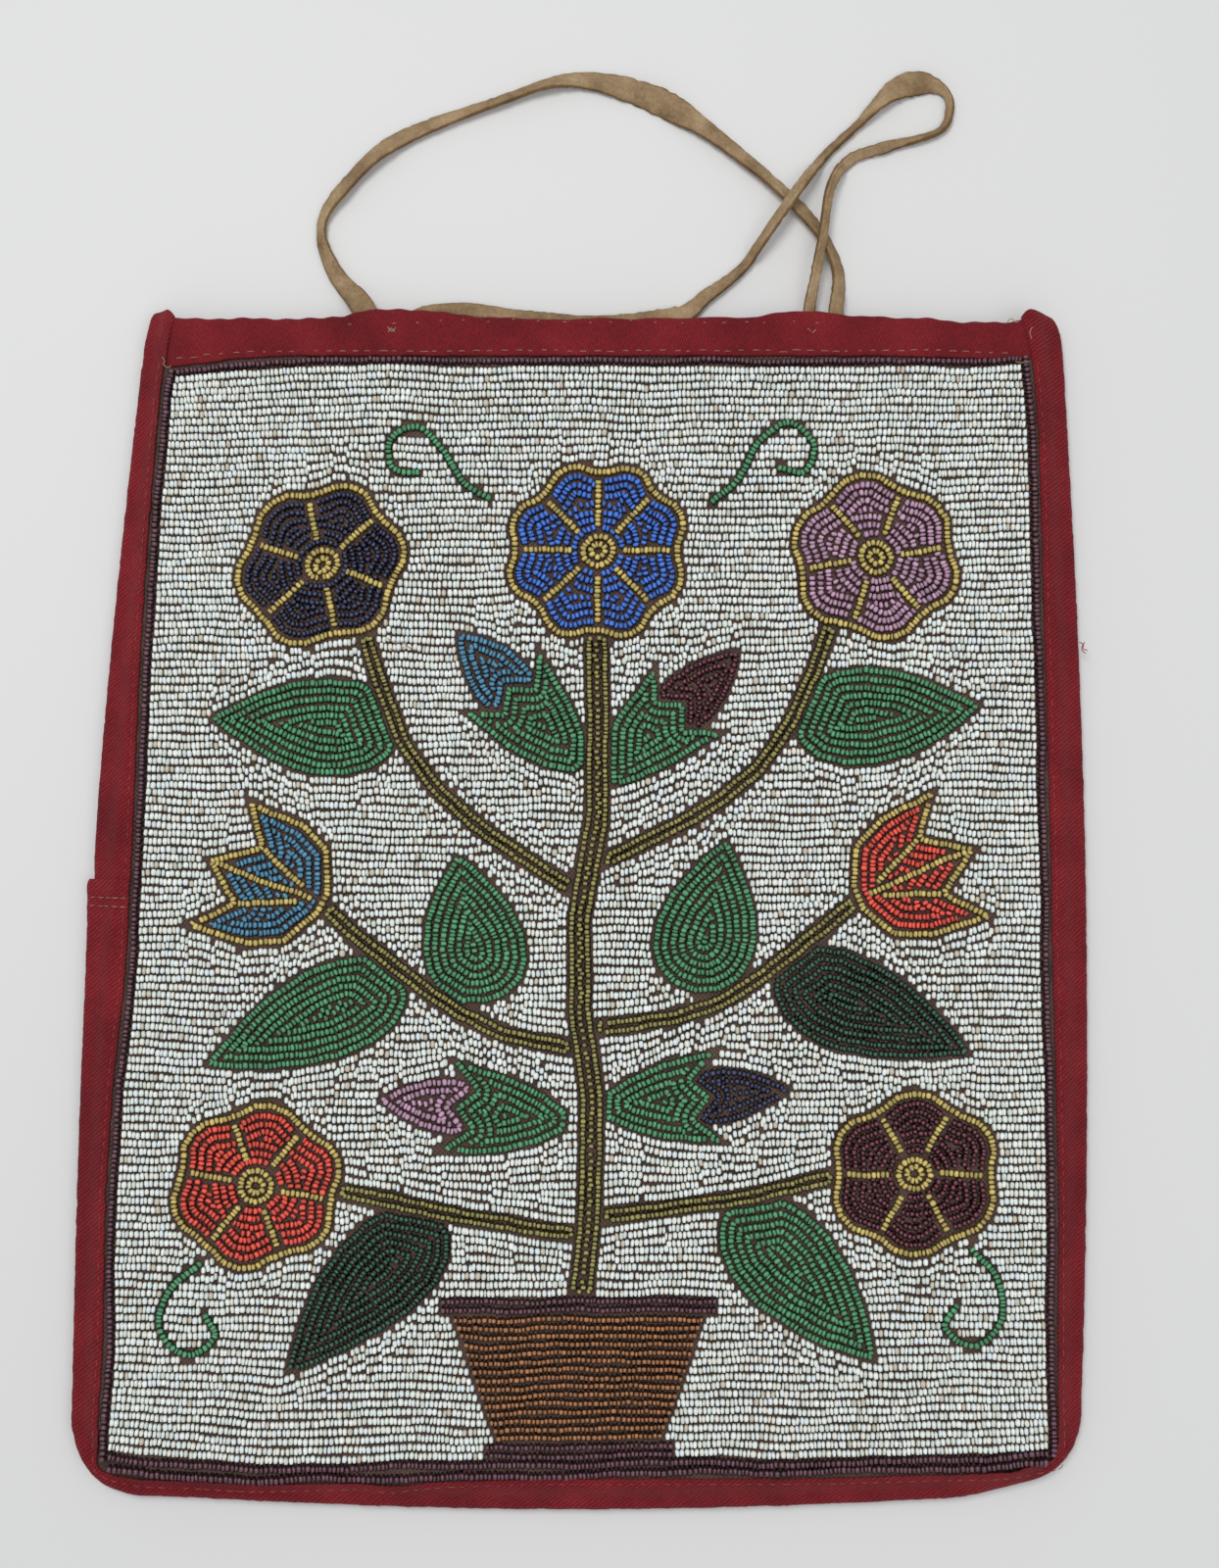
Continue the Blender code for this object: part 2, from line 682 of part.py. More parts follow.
HANDLE_REST = HANDLE_THICKNESS / 2 + 0.0001
FRONT_HANDLE_Z = FACING_Z - CLEARANCE - HANDLE_THICKNESS / 2
BACK_HANDLE_Z = BACK_HIDE + CLEARANCE + HANDLE_THICKNESS / 2
OVER_Z = HANDLE_REST + HANDLE_THICKNESS + 2 * CLEARANCE
FRONT_ROUTE = [
    (-0.0620, -0.014, FRONT_HANDLE_Z),
    (-0.0644, 0.0010, FRONT_HANDLE_Z),
    (-0.0735, 0.0137, HANDLE_REST),
    (-0.0768, 0.0255, HANDLE_REST),
    (-0.0709, 0.0360, HANDLE_REST),
    (-0.0566, 0.0492, HANDLE_REST),
    (-0.0306, 0.0597, HANDLE_REST),
    (-0.0072, 0.0663, HANDLE_REST),
    (0.0163, 0.0597, HANDLE_REST),
    (0.0371, 0.0452, HANDLE_REST),
    (0.0553, 0.0281, HANDLE_REST),
    (0.0632, 0.0137, HANDLE_REST),
    (0.0625, 0.0010, FRONT_HANDLE_Z),
    (0.0620, -0.014, FRONT_HANDLE_Z),
]
BACK_ROUTE = [
    (-0.0560, -0.014, BACK_HANDLE_Z),
    (-0.0545, -0.0040, BACK_HANDLE_Z),
    (-0.0488, 0.0010, BACK_HANDLE_Z),
    (-0.0371, 0.0018, BACK_HANDLE_Z),
    (-0.0254, 0.0005, BACK_HANDLE_Z),
    (-0.0046, -0.0016, BACK_HANDLE_Z),
    (0.0189, 0.0005, BACK_HANDLE_Z),
    (0.0280, 0.0066, HANDLE_REST),
    (0.0371, 0.0137, HANDLE_REST),
    (0.0450, 0.0240, OVER_Z),
    (0.0530, 0.0355, OVER_Z),
    (0.0600, 0.0452, HANDLE_REST),
    (0.0683, 0.0531, HANDLE_REST),
    (0.0787, 0.0631, HANDLE_REST),
    (0.0860, 0.0655, HANDLE_REST),
    (0.0925, 0.0635, HANDLE_REST),
    (0.0943, 0.0585, HANDLE_REST),
    (0.0911, 0.0520, HANDLE_REST),
    (0.0770, 0.0478, HANDLE_REST),
    (0.0668, 0.0440, HANDLE_REST),
    (0.0612, 0.0350, OVER_Z),
    (0.0590, 0.0215, OVER_Z),
    (0.0570, 0.0110, OVER_Z),
    (0.0553, 0.0010, BACK_HANDLE_Z),
    (0.0550, -0.014, BACK_HANDLE_Z),
]


def make_handle(name, route):
    """A tube along a smooth curve through the route's points, with a point about every HANDLE_STEP."""
    points = [Vector((x + TOP_SHIFT / 2, TOP_Y + y, z)) for x, y, z in route]
    length = sum((b - a).length for a, b in zip(points, points[1:]))
    line = smooth_line(points, round(length / HANDLE_STEP))
    for place in line:
        place.z = max(place.z, HANDLE_REST)
    curve = bpy.data.curves.new(name, "CURVE")
    curve.dimensions = "3D"
    curve.bevel_depth = HANDLE_THICKNESS / 2
    curve.bevel_resolution = HANDLE_SIDES
    curve.use_fill_caps = True
    spline = curve.splines.new("POLY")
    spline.points.add(len(line) - 1)
    for point, place in zip(spline.points, line):
        point.co = (*place, 1)
    add_object(name, curve, "hide")


def main():
    clear_scene()
    new_collection("beaded_bag")
    new_collection("cutters")
    make_panels()
    make_side_bindings()
    make_top_binding()
    make_border()
    make_field(make_picture())
    make_handle("front_handle", FRONT_ROUTE)
    make_handle("back_handle", BACK_ROUTE)


main()
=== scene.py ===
"""The looks of the beaded bag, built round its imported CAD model. Metres, in the CAD's own frame."""

from math import cos, pi, radians, sin, tau

import bmesh
import bpy
import numpy as np
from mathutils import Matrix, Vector


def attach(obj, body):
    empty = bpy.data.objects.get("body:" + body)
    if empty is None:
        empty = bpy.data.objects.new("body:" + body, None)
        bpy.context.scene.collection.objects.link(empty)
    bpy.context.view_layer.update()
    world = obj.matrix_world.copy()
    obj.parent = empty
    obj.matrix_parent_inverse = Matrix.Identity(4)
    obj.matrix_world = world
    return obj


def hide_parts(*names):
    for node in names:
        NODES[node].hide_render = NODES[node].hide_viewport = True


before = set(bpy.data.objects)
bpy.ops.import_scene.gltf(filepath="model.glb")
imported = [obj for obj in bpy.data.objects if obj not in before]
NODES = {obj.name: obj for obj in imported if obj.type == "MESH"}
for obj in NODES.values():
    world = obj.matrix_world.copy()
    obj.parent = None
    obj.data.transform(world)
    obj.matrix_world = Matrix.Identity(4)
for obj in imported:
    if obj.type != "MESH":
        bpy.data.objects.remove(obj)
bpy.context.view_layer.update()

# The camera, nearly straight above the bag

LOOK_AT = Vector((0.0052, 0.0298, 0.005))
DISTANCE = 0.62
ELEVATION = radians(86)
LENS, SENSOR = 53.6, 36
IMAGE_WIDE, IMAGE_TALL = 1244, 1600

camera = bpy.data.objects.new("camera", bpy.data.cameras.new("camera"))
camera.data.lens = LENS
camera.data.sensor_width = SENSOR
camera.data.clip_start = 0.01
camera.location = LOOK_AT + DISTANCE * Vector((0, -cos(ELEVATION), sin(ELEVATION)))
camera.rotation_euler = (pi / 2 - ELEVATION, 0, 0)
bpy.context.scene.collection.objects.link(camera)
bpy.context.scene.camera = camera

# The bag's sizes, as in the CAD source

TOP_WIDTH, BASE_WIDTH, HEIGHT, TOP_SHIFT = 0.247, 0.2635, 0.3125, 0.0075
LEFT_BOW, RIGHT_BOW, BASE_BOW, CORNER_RADIUS = 0.0050, 0.0042, 0.0035, 0.022
TOP_Y, BASE_Y = HEIGHT / 2, -HEIGHT / 2
SEAM_DROP = 0.153
SIDE_BINDING, TOP_BINDING = 0.0082, 0.0120
SLOPE_START = 0.0020
SEAM_TOP_Z, FLAT_TOP_Z = 0.0047, 0.0091
CLOTH_TOP_Z = 0.0079
WOOL = 0.0009
ROW = 0.00214
GRID_X, GRID_Y = 125.0, 155.0

random = np.random.default_rng(11)

# Meshes and lines


def show(name, data):
    """A new object in the scene."""
    obj = bpy.data.objects.new(name, data)
    bpy.context.scene.collection.objects.link(obj)
    return obj


def new_mesh(name, corners, faces, material, smooth=True):
    """An object from corner and face lists."""
    mesh = bpy.data.meshes.new(name)
    mesh.from_pydata([tuple(c) for c in corners], [], [tuple(f) for f in faces])
    mesh.materials.append(material)
    mesh.polygons.foreach_set("use_smooth", np.full(len(mesh.polygons), smooth))
    mesh.update()
    return show(name, mesh)


def piece(obj, slot, *replaced):
    """Says what a piece rides on and which CAD nodes it stands for, and hides those nodes. The slot, which finish
    it takes, is not used.
    """
    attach(obj, "root")
    if replaced:
        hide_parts(*replaced)
    return obj


def smooth_line(points, count):
    """Count + 1 points on one smooth curve through the given ones."""
    points = np.array(points, float)
    ends = np.vstack([2 * points[0] - points[1], points, 2 * points[-1] - points[-2]])
    place = np.minimum(np.linspace(0, len(points) - 1, count + 1), len(points) - 1 - 1e-9)
    k = place.astype(int)
    t = (place - k)[:, None]
    a, b, c, d = (ends[k + i] for i in range(4))
    return 0.5 * (2 * b + (c - a) * t + (2 * a - 5 * b + 4 * c - d) * t**2 + (3 * b - a - 3 * c + d) * t**3)


def along(line):
    """Distance of each point of a line from its start."""
    return np.concatenate([[0], np.cumsum(np.linalg.norm(np.diff(line, axis=0), axis=1))])


def points_at(places, run, line):
    """A line's points at the given distances, from its run of distances."""
    return np.column_stack([np.interp(places, run, line[:, i]) for i in range(line.shape[1])])


def even_line(line, step):
    """The same line with evenly spaced points, about a step apart."""
    run = along(line)
    return points_at(np.linspace(0, run[-1], max(int(round(run[-1] / step)), 1) + 1), run, line)


def unit(rows):
    return rows / np.linalg.norm(rows, axis=1)[:, None]


def hump(x, wide, middle=0.0):
    """1 at the middle, falling away smoothly on both sides."""
    return np.exp(-(((x - middle) / wide) ** 2))


class Ripple:
    """Smooth noise over a plane: a few sine waves in seeded directions."""

    def __init__(self, seed, shortest, longest, waves=7):
        source = np.random.default_rng(seed)
        turn = source.uniform(0, tau, waves)
        rate = tau / np.exp(source.uniform(np.log(shortest), np.log(longest), waves))
        self.rates = np.column_stack([np.cos(turn), np.sin(turn)]) * rate[:, None]
        self.phases = source.uniform(0, tau, waves)

    def __call__(self, x, y):
        total = sum(np.sin(rx * x + ry * y + p) for (rx, ry), p in zip(self.rates, self.phases))
        return total / np.sqrt(len(self.phases) / 2) / 1.6


# Materials


def shader_material(name, roughness, levels=()):
    """A material, its Principled shader and its node tree. Levels are the shader's other plain values."""
    made = bpy.data.materials.new(name)
    made.use_nodes = True
    shader = made.node_tree.nodes["Principled BSDF"]
    for key, value in (("Roughness", roughness), *levels):
        shader.inputs[key].default_value = value
    return made, shader, made.node_tree


def surface_place(tree):
    return tree.nodes.new("ShaderNodeTexCoord").outputs["Object"]


def add_node(tree, kind, **values):
    """A node with its inputs or properties set by name."""
    node = tree.nodes.new(kind)
    for key, value in values.items():
        if key in node.inputs:
            node.inputs[key].default_value = value
        else:
            setattr(node, key, value)
    return node


def colour_ramp(tree, factor, stops):
    """The colours of (place, colour) stops, picked by a factor."""
    ramp = tree.nodes.new("ShaderNodeValToRGB")
    for _ in range(len(stops) - 2):
        ramp.color_ramp.elements.new(0.5)
    for element, (place, colour) in zip(ramp.color_ramp.elements, stops):
        element.position = place
        element.color = (*colour, 1)
    tree.links.new(factor, ramp.inputs["Fac"])
    return ramp.outputs["Color"]


def noise(tree, where, scale, detail=3.0, roughness=0.55):
    node = add_node(tree, "ShaderNodeTexNoise", Scale=scale, Detail=detail, Roughness=roughness)
    tree.links.new(where, node.inputs["Vector"])
    return node.outputs["Fac"]


def mixed(tree, kind, factor, first, second):
    """A colour mix of two sockets."""
    node = tree.nodes.new("ShaderNodeMix")
    node.data_type = "RGBA"
    node.blend_type = kind
    if isinstance(factor, float):
        node.inputs["Factor"].default_value = factor
    else:
        tree.links.new(factor, node.inputs["Factor"])
    tree.links.new(first, node.inputs["A"])
    tree.links.new(second, node.inputs["B"])
    return node.outputs["Result"]


def bump(tree, shader, height, strength, distance):
    node = add_node(tree, "ShaderNodeBump", Strength=strength, Distance=distance)
    tree.links.new(height, node.inputs["Height"])
    tree.links.new(node.outputs["Normal"], shader.inputs["Normal"])


def wool_material(name, scale, lean):
    """Red wool with a fine twill, whose lines lean as the strip was cut, and a worn, slightly felted face."""
    sheen = (("Sheen Weight", 0.12), ("Sheen Roughness", 0.5), ("Sheen Tint", (0.9, 0.35, 0.35, 1)))
    made, shader, tree = shader_material(name, 0.92, (*sheen, ("Specular IOR Level", 0.2)))
    where = surface_place(tree)
    twill = add_node(tree, "ShaderNodeTexWave", Scale=scale, Distortion=1.6, Detail=2.0, wave_type="BANDS")
    leaning = add_node(tree, "ShaderNodeMapping", Rotation=(0, 0, radians(lean)))
    tree.links.new(where, leaning.inputs["Vector"])
    tree.links.new(leaning.outputs["Vector"], twill.inputs["Vector"])
    twill.inputs["Detail Scale"].default_value = 2.0
    patches = colour_ramp(
        tree,
        noise(tree, where, 70.0, 4.0),
        [(0.25, (0.135, 0.0085, 0.0125)), (0.5, (0.190, 0.0115, 0.0165)), (0.75, (0.245, 0.0165, 0.0215))],
    )
    threads = colour_ramp(tree, twill.outputs["Fac"], [(0.15, (0.58, 0.54, 0.58)), (0.6, (1.12, 1.12, 1.12))])
    woven = mixed(tree, "MULTIPLY", 0.85, patches, threads)
    grain = noise(tree, where, 1300.0, 2.0)
    speckle = colour_ramp(tree, grain, [(0.35, (0.70, 0.7, 0.7)), (0.65, (1.18, 1.2, 1.2))])
    tree.links.new(mixed(tree, "MULTIPLY", 0.7, woven, speckle), shader.inputs["Base Color"])
    height = mixed(tree, "MULTIPLY", 0.6, twill.outputs["Color"], speckle)
    bump(tree, shader, height, 0.7, 0.0003)
    return made


def hide_material(name, dark, middle, light):
    """Suede: worn and mottled, with a short nap, and painted shade that darkens it towards the edges of a strip,
    where the mesh's rim attribute says so.
    """
    made, shader, tree = shader_material(name, 0.95, [("Specular IOR Level", 0.15)])
    where = surface_place(tree)
    patches = noise(tree, where, 95.0, 6.0, 0.65)
    mottle = colour_ramp(tree, patches, [(0.3, dark), (0.52, middle), (0.72, light)])
    hairs = noise(tree, where, 1400.0, 3.0)
    nap = colour_ramp(tree, hairs, [(0.3, (0.75, 0.73, 0.7)), (0.7, (1.12, 1.12, 1.12))])
    napped = mixed(tree, "MULTIPLY", 0.75, mottle, nap)
    # Painted shade: darker and browner towards the edges of a handle strip
    shaded_rim = add_node(tree, "ShaderNodeAttribute", attribute_name="shaded_rim").outputs["Fac"]
    rim_painted_shade = colour_ramp(tree, shaded_rim, [(0.0, (1, 1, 1)), (0.55, (0.93, 0.91, 0.88)), (1.0, (0.50, 0.42, 0.34))])
    tree.links.new(mixed(tree, "MULTIPLY", 1.0, napped, rim_painted_shade), shader.inputs["Base Color"])
    bump(tree, shader, noise(tree, where, 1100.0, 5.0, 0.7), 0.45, 0.0003)
    return made


def cloth_material():
    """The dark ground cloth that shows between the beads."""
    made, shader, tree = shader_material("ground_cloth", 0.95)
    where = surface_place(tree)
    weave = add_node(tree, "ShaderNodeTexChecker", Scale=1600.0, Color1=(0.098, 0.060, 0.046, 1))
    weave.inputs["Color2"].default_value = (0.056, 0.033, 0.025, 1)
    tree.links.new(where, weave.inputs["Vector"])
    tone = colour_ramp(tree, noise(tree, where, 160.0), [(0.3, (0.7, 0.7, 0.7)), (0.7, (1.3, 1.25, 1.2))])
    tree.links.new(mixed(tree, "MULTIPLY", 1.0, weave.outputs["Color"], tone), shader.inputs["Base Color"])
    bump(tree, shader, noise(tree, where, 1500.0), 0.4, 0.0002)
    return made


def thread_material(name, colour):
    made, shader, tree = shader_material(name, 0.8)
    where = surface_place(tree)
    darker = tuple(c * 0.6 for c in colour)
    tone = colour_ramp(tree, noise(tree, where, 500.0), [(0.3, darker), (0.7, colour)])
    tree.links.new(tone, shader.inputs["Base Color"])
    return made


# Beads: plain materials for each tint, so that they vary from bead to bead

# For each colour: its crown, made lighter as a painted highlight, and its flanks, made darker as painted shade
TINTS = {
    "plum": ((0.118, 0.052, 0.070), (0.040, 0.014, 0.021)),
    "green": ((0.080, 0.255, 0.125), (0.020, 0.105, 0.042)),
    "dark_green": ((0.030, 0.085, 0.055), (0.006, 0.024, 0.014)),
    "olive": ((0.260, 0.235, 0.075), (0.045, 0.040, 0.009)),
    "ochre": ((0.500, 0.390, 0.125), (0.215, 0.150, 0.030)),
    "navy": ((0.034, 0.042, 0.092), (0.007, 0.009, 0.022)),
    "teal": ((0.075, 0.215, 0.330), (0.016, 0.065, 0.115)),
    "blue": ((0.050, 0.150, 0.520), (0.014, 0.048, 0.220)),
    "lilac": ((0.430, 0.260, 0.360), (0.230, 0.115, 0.175)),
    "red": ((0.640, 0.080, 0.055), (0.320, 0.018, 0.013)),
    "maroon": ((0.135, 0.034, 0.052), (0.026, 0.005, 0.009)),
    "brown": ((0.310, 0.135, 0.055), (0.048, 0.017, 0.007)),
}
# How much lighter or darker than its colour a bead is, and how common that is
SHADES = [(0.72, 12), (0.86, 22), (1.0, 32), (1.14, 22), (1.3, 12)]
# The white beads: crown colour, and how common it is. Their flanks are darker, as painted shade
WHITES = [
    ((0.800, 0.830, 0.800), 31),
    ((0.740, 0.780, 0.745), 27),
    ((0.735, 0.790, 0.815), 11),
    ((0.770, 0.750, 0.680), 10),
    ((0.640, 0.670, 0.620), 12),
    ((0.560, 0.510, 0.420), 3),
    ((0.860, 0.885, 0.870), 6),
]
# The white beads' flanks: their crown colour darkened, as painted shade
WHITE_FLANK_SHADE = (0.90, 0.89, 0.84)
BEAD_GLOSS = 0.25


def bead_materials(colour):
    """A colour's crown materials, lighter as a painted highlight, and flank materials, darker as painted shade,
    one after the other for each tint, and the tints' shares.
    """
    if colour == "white":
        pairs = [((tint, tuple(a * b for a, b in zip(tint, WHITE_FLANK_SHADE))), share) for tint, share in WHITES]
    else:
        lit_crown, flank = TINTS[colour]
        pairs = [((tuple(c * s for c in lit_crown), tuple(c * s for c in flank)), share) for s, share in SHADES]
    made = []
    for i, (pair, _) in enumerate(pairs):
        # Crown and flank are lit and shaded copies of one tint: painted highlight and painted shade
        for part, tint in zip(("lit_crown", "flank"), pair):
            levels = (("Base Color", (*tint, 1)), ("IOR", 1.5))
            made.append(shader_material(f"{colour}_glass_{part}_{i + 1}", BEAD_GLOSS, levels)[0])
    shares = np.array([share for _, share in pairs], float)
    return made, shares / shares.sum()


BEAD_MATERIALS = {colour: bead_materials(colour) for colour in ("white", *TINTS)}

# A bead's shape: rings along its hole, as (place, width, height), each an arch that stands on the cloth
RINGS = [(-0.5, 0.50, 0.56), (-0.25, 1.0, 1.0), (0.25, 1.0, 1.0), (0.5, 0.50, 0.56)]
# Width of the crown, the strip of faces that carries the painted highlight, as a share of the bead's. It is
# narrow on dark glass
LIT_CROWN = 0.64
LIT_CROWNS = dict(plum=0.46, navy=0.42, maroon=0.40, dark_green=0.45, olive=0.5, brown=0.48, white=0.68)
BEAD_SIDES = [(4 * i + j, 4 * i + j + 1, 4 * i + j + 5, 4 * i + j + 4) for i in range(3) for j in (1, 0, 2)]
BEAD_BASES = [(4 * i + 3, 4 * i, 4 * i + 4, 4 * i + 7) for i in range(3)]
BEAD_ENDS = [(0, 3, 2, 1), (12, 13, 14, 15)]
BEAD_FACES = np.array(BEAD_SIDES + BEAD_BASES + BEAD_ENDS)[:, ::-1]
# Which faces of a bead take the flank material with painted shade (1), and which the crown material with painted
# highlight (0)
BEAD_SHADED_FACES = np.array([0 if i < 9 and i % 3 == 0 else 1 for i in range(len(BEAD_FACES))])
BEAD_HALF, BEAD_TALL, BEAD_STEP = 0.00103, 0.00185, 0.00121
# How far single beads stray: in turn, place, width, height and length
STRAY_TURN, STRAY_PLACE, STRAY_WIDTH, STRAY_HEIGHT, STRAY_LENGTH = radians(4.0), 0.00007, 0.045, 0.05, 0.16
# The share of its room that a bead fills along the thread
FILLED = 0.91

sway_x, sway_y = Ripple(3, 0.018, 0.07), Ripple(4, 0.02, 0.08)
sway_fine = Ripple(9, 0.007, 0.015)
swell = Ripple(5, 0.012, 0.06)


def warp(place):
    """Moves points of the beadwork a little, as its rows wander."""
    x, y = place[:, 0], place[:, 1]
    corner = hump(x, 0.020, -0.112) * np.exp(-(TOP_Y - y) / 0.035)
    moved_x = x + 0.00022 * sway_x(x, y)
    moved_y = y + 0.00040 * sway_y(x, y) + 0.00018 * sway_fine(x, y) - 0.0040 * corner
    return np.column_stack([moved_x, moved_y])


def bead_mesh(name, colour, centres, axes, lengths, bent=True, wide=1.0):
    """One mesh of closed beads. Centres and axes are in the plane; the axis runs along the hole."""
    count = len(centres)
    ahead, behind = centres + axes * 0.0006, centres - axes * 0.0006
    if bent:
        ahead, behind = settle(ahead), settle(behind)
    ahead, behind = warp(ahead), warp(behind)
    centres = (ahead + behind) / 2
    axes = ahead - behind
    turn = np.arctan2(axes[:, 1], axes[:, 0]) + STRAY_TURN * random.standard_normal(count)
    centres = centres + STRAY_PLACE * random.standard_normal((count, 2))
    half = BEAD_HALF * (1 + STRAY_WIDTH * random.standard_normal(count)) * wide
    tall = BEAD_TALL * (1 + STRAY_HEIGHT * random.standard_normal(count))
    floor = CLOTH_TOP_Z + 0.00012 * swell(centres[:, 0], centres[:, 1])
    lit_crown = LIT_CROWNS.get(colour, LIT_CROWN)
    arch = [(-1.0, 0.0), (-lit_crown, 0.94), (lit_crown, 0.94), (1.0, 0.0)]
    shape = np.array([(x, y * broad, z * high) for x, broad, high in RINGS for y, z in arch])
    local = shape[None] * np.stack([lengths * FILLED, half, tall], 1)[:, None]
    c, s = np.cos(turn)[:, None], np.sin(turn)[:, None]
    corners = np.empty((count, 16, 3))
    corners[..., 0] = centres[:, 0, None] + local[..., 0] * c - local[..., 1] * s
    corners[..., 1] = centres[:, 1, None] + local[..., 0] * s + local[..., 1] * c
    corners[..., 2] = floor[:, None] + local[..., 2]
    faces = BEAD_FACES[None] + 16 * np.arange(count)[:, None, None]
    mesh = bpy.data.meshes.new(name)
    faces_each = len(BEAD_FACES)
    mesh.vertices.add(count * 16)
    mesh.vertices.foreach_set("co", corners.ravel())
    mesh.loops.add(count * faces_each * 4)
    mesh.loops.foreach_set("vertex_index", faces.ravel().astype(np.int32))
    mesh.polygons.add(count * faces_each)
    mesh.polygons.foreach_set("loop_start", np.arange(count * faces_each, dtype=np.int32) * 4)
    mesh.polygons.foreach_set("loop_total", np.full(count * faces_each, 4, dtype=np.int32))
    materials, shares = BEAD_MATERIALS[colour]
    for material in materials:
        mesh.materials.append(material)
    tint = random.choice(len(shares), count, p=shares)
    # Crown faces get the tint with painted highlight, the other faces the tint with painted shade
    slots = 2 * tint[:, None] + BEAD_SHADED_FACES[None]
    mesh.polygons.foreach_set("material_index", slots.ravel().astype(np.int32))
    rounded = np.array([i < len(BEAD_SIDES) for i in range(faces_each)])
    mesh.polygons.foreach_set("use_smooth", np.tile(rounded, count))
    mesh.update()
    mesh.validate()
    return show(name, mesh)


def bead_run(length, step=BEAD_STEP):
    """Middles and lengths of the beads that fill a length, each a little different."""
    count = max(int(round(length / step)), 1)
    sizes = np.clip(1 + STRAY_LENGTH * random.standard_normal(count), 0.62, 1.5)
    sizes *= length / sizes.sum()
    ends = np.cumsum(sizes)
    return ends - sizes / 2, np.minimum(sizes, step * 1.5)


def beads_on_line(line, step=BEAD_STEP):
    """Beads strung along a line: centres, axes and lengths."""
    run = along(line)
    middles, sizes = bead_run(run[-1], step)
    ahead = points_at(np.minimum(middles + 0.0005, run[-1]), run, line)
    behind = points_at(np.maximum(middles - 0.0005, 0), run, line)
    return points_at(middles, run, line), unit(ahead - behind), sizes


# Outlines of the CAD pads, and the rows and rings that fill them


def outlines(node):
    """The closed outlines of a pad's level underside, the outer one first."""
    mesh = NODES[node].data
    places = np.empty(len(mesh.vertices) * 3)
    mesh.vertices.foreach_get("co", places)
    places = places.reshape(-1, 3)
    keys = {}
    ids = [keys.setdefault(tuple(np.round(p, 6)), len(keys)) for p in places]
    spots = np.array(list(keys))
    floor = places[:, 2].min()
    edges = set()
    for polygon in mesh.polygons:
        corners = [ids[v] for v in polygon.vertices]
        if all(spots[c, 2] < floor + 1e-5 for c in corners):
            edges.update(zip(corners, corners[1:] + corners[:1]))
    following = {a: b for a, b in edges if (b, a) not in edges}
    loops = []
    while following:
        start, here = following.popitem()
        loop = [start]
        while here != start and here in following:
            loop.append(here)
            here = following.pop(here)
        loops.append(spots[loop, :2])
    loops = [loop for loop in loops if len(loop) > 2]
    return sorted(loops, key=lambda loop: -abs(area(loop)))


def area(loop):
    """A loop's area, positive where it runs anticlockwise."""
    x, y = loop[:, 0], loop[:, 1]
    return 0.5 * np.sum(x * np.roll(y, -1) - y * np.roll(x, -1))


def crossings(loops, y):
    """The stretches of a level line that lie inside the loops."""
    found = []
    for loop in loops:
        a, b = loop, np.roll(loop, -1, axis=0)
        hit = (a[:, 1] > y) != (b[:, 1] > y)
        a, b = a[hit], b[hit]
        found.extend(a[:, 0] + (b[:, 0] - a[:, 0]) * (y - a[:, 1]) / (b[:, 1] - a[:, 1]))
    found = sorted(found)
    return list(zip(found[::2], found[1::2]))


def shared(first, second):
    """The parts that two lists of stretches have in common."""
    return [(max(a, c), min(b, d)) for a, b in first for c, d in second if min(b, d) > max(a, c)]


def without(stretches, low, high):
    """The stretches with everything between low and high taken out."""
    left = []
    for a, b in stretches:
        left += [(s, e) for s, e in ((a, min(b, low)), (max(a, high), b)) if e > s]
    return left


ROW_GAP, SHORTEST_ROW = 0.00008, 0.0007


def filled_rows(loops):
    """Level rows of beads inside the loops."""
    high_y, low_y = loops[0][:, 1].max(), loops[0][:, 1].min()
    rows = max(int(round((high_y - low_y) / ROW)), 1)
    pitch = (high_y - low_y) / rows
    centres, lengths = [], []
    for row in range(rows):
        y = high_y - (row + 0.5) * pitch
        stretches = crossings(loops, y)
        for level in (y - 0.2 * pitch, y + 0.2 * pitch):
            stretches = shared(stretches, crossings(loops, level))
        for a, b in stretches:
            if b - a - 2 * ROW_GAP >= SHORTEST_ROW:
                middles, sizes = bead_run(b - a - 2 * ROW_GAP)
                centres.append(np.column_stack([a + ROW_GAP + middles, np.full(len(middles), y)]))
                lengths.append(sizes)
    centres = np.vstack(centres)
    return centres, np.tile((1.0, 0.0), (len(centres), 1)), np.concatenate(lengths)


# The step of the grid that finds how deep a point lies in a motif
GRID = 0.00028


def depth_map(loops):
    """How deep each point of a grid lies inside the loops, negative outside."""
    low, high = loops[0].min(axis=0) - 0.0012, loops[0].max(axis=0) + 0.0012
    xs, ys = np.arange(low[0], high[0], GRID), np.arange(low[1], high[1], GRID)
    x, y = np.meshgrid(xs, ys)
    nearest = np.full(x.shape, 1.0)
    inside = np.zeros(x.shape, bool)
    for loop in loops:
        for (ax, ay), (bx, by) in zip(loop, np.roll(loop, -1, axis=0)):
            dx, dy = bx - ax, by - ay
            share = np.clip(((x - ax) * dx + (y - ay) * dy) / (dx * dx + dy * dy + 1e-18), 0, 1)
            nearest = np.minimum(nearest, (x - ax - share * dx) ** 2 + (y - ay - share * dy) ** 2)
            if ay != by:
                inside ^= ((ay > y) != (by > y)) & (x < ax + dx * (y - ay) / dy)
    return xs, ys, np.where(inside, 1, -1) * np.sqrt(nearest)


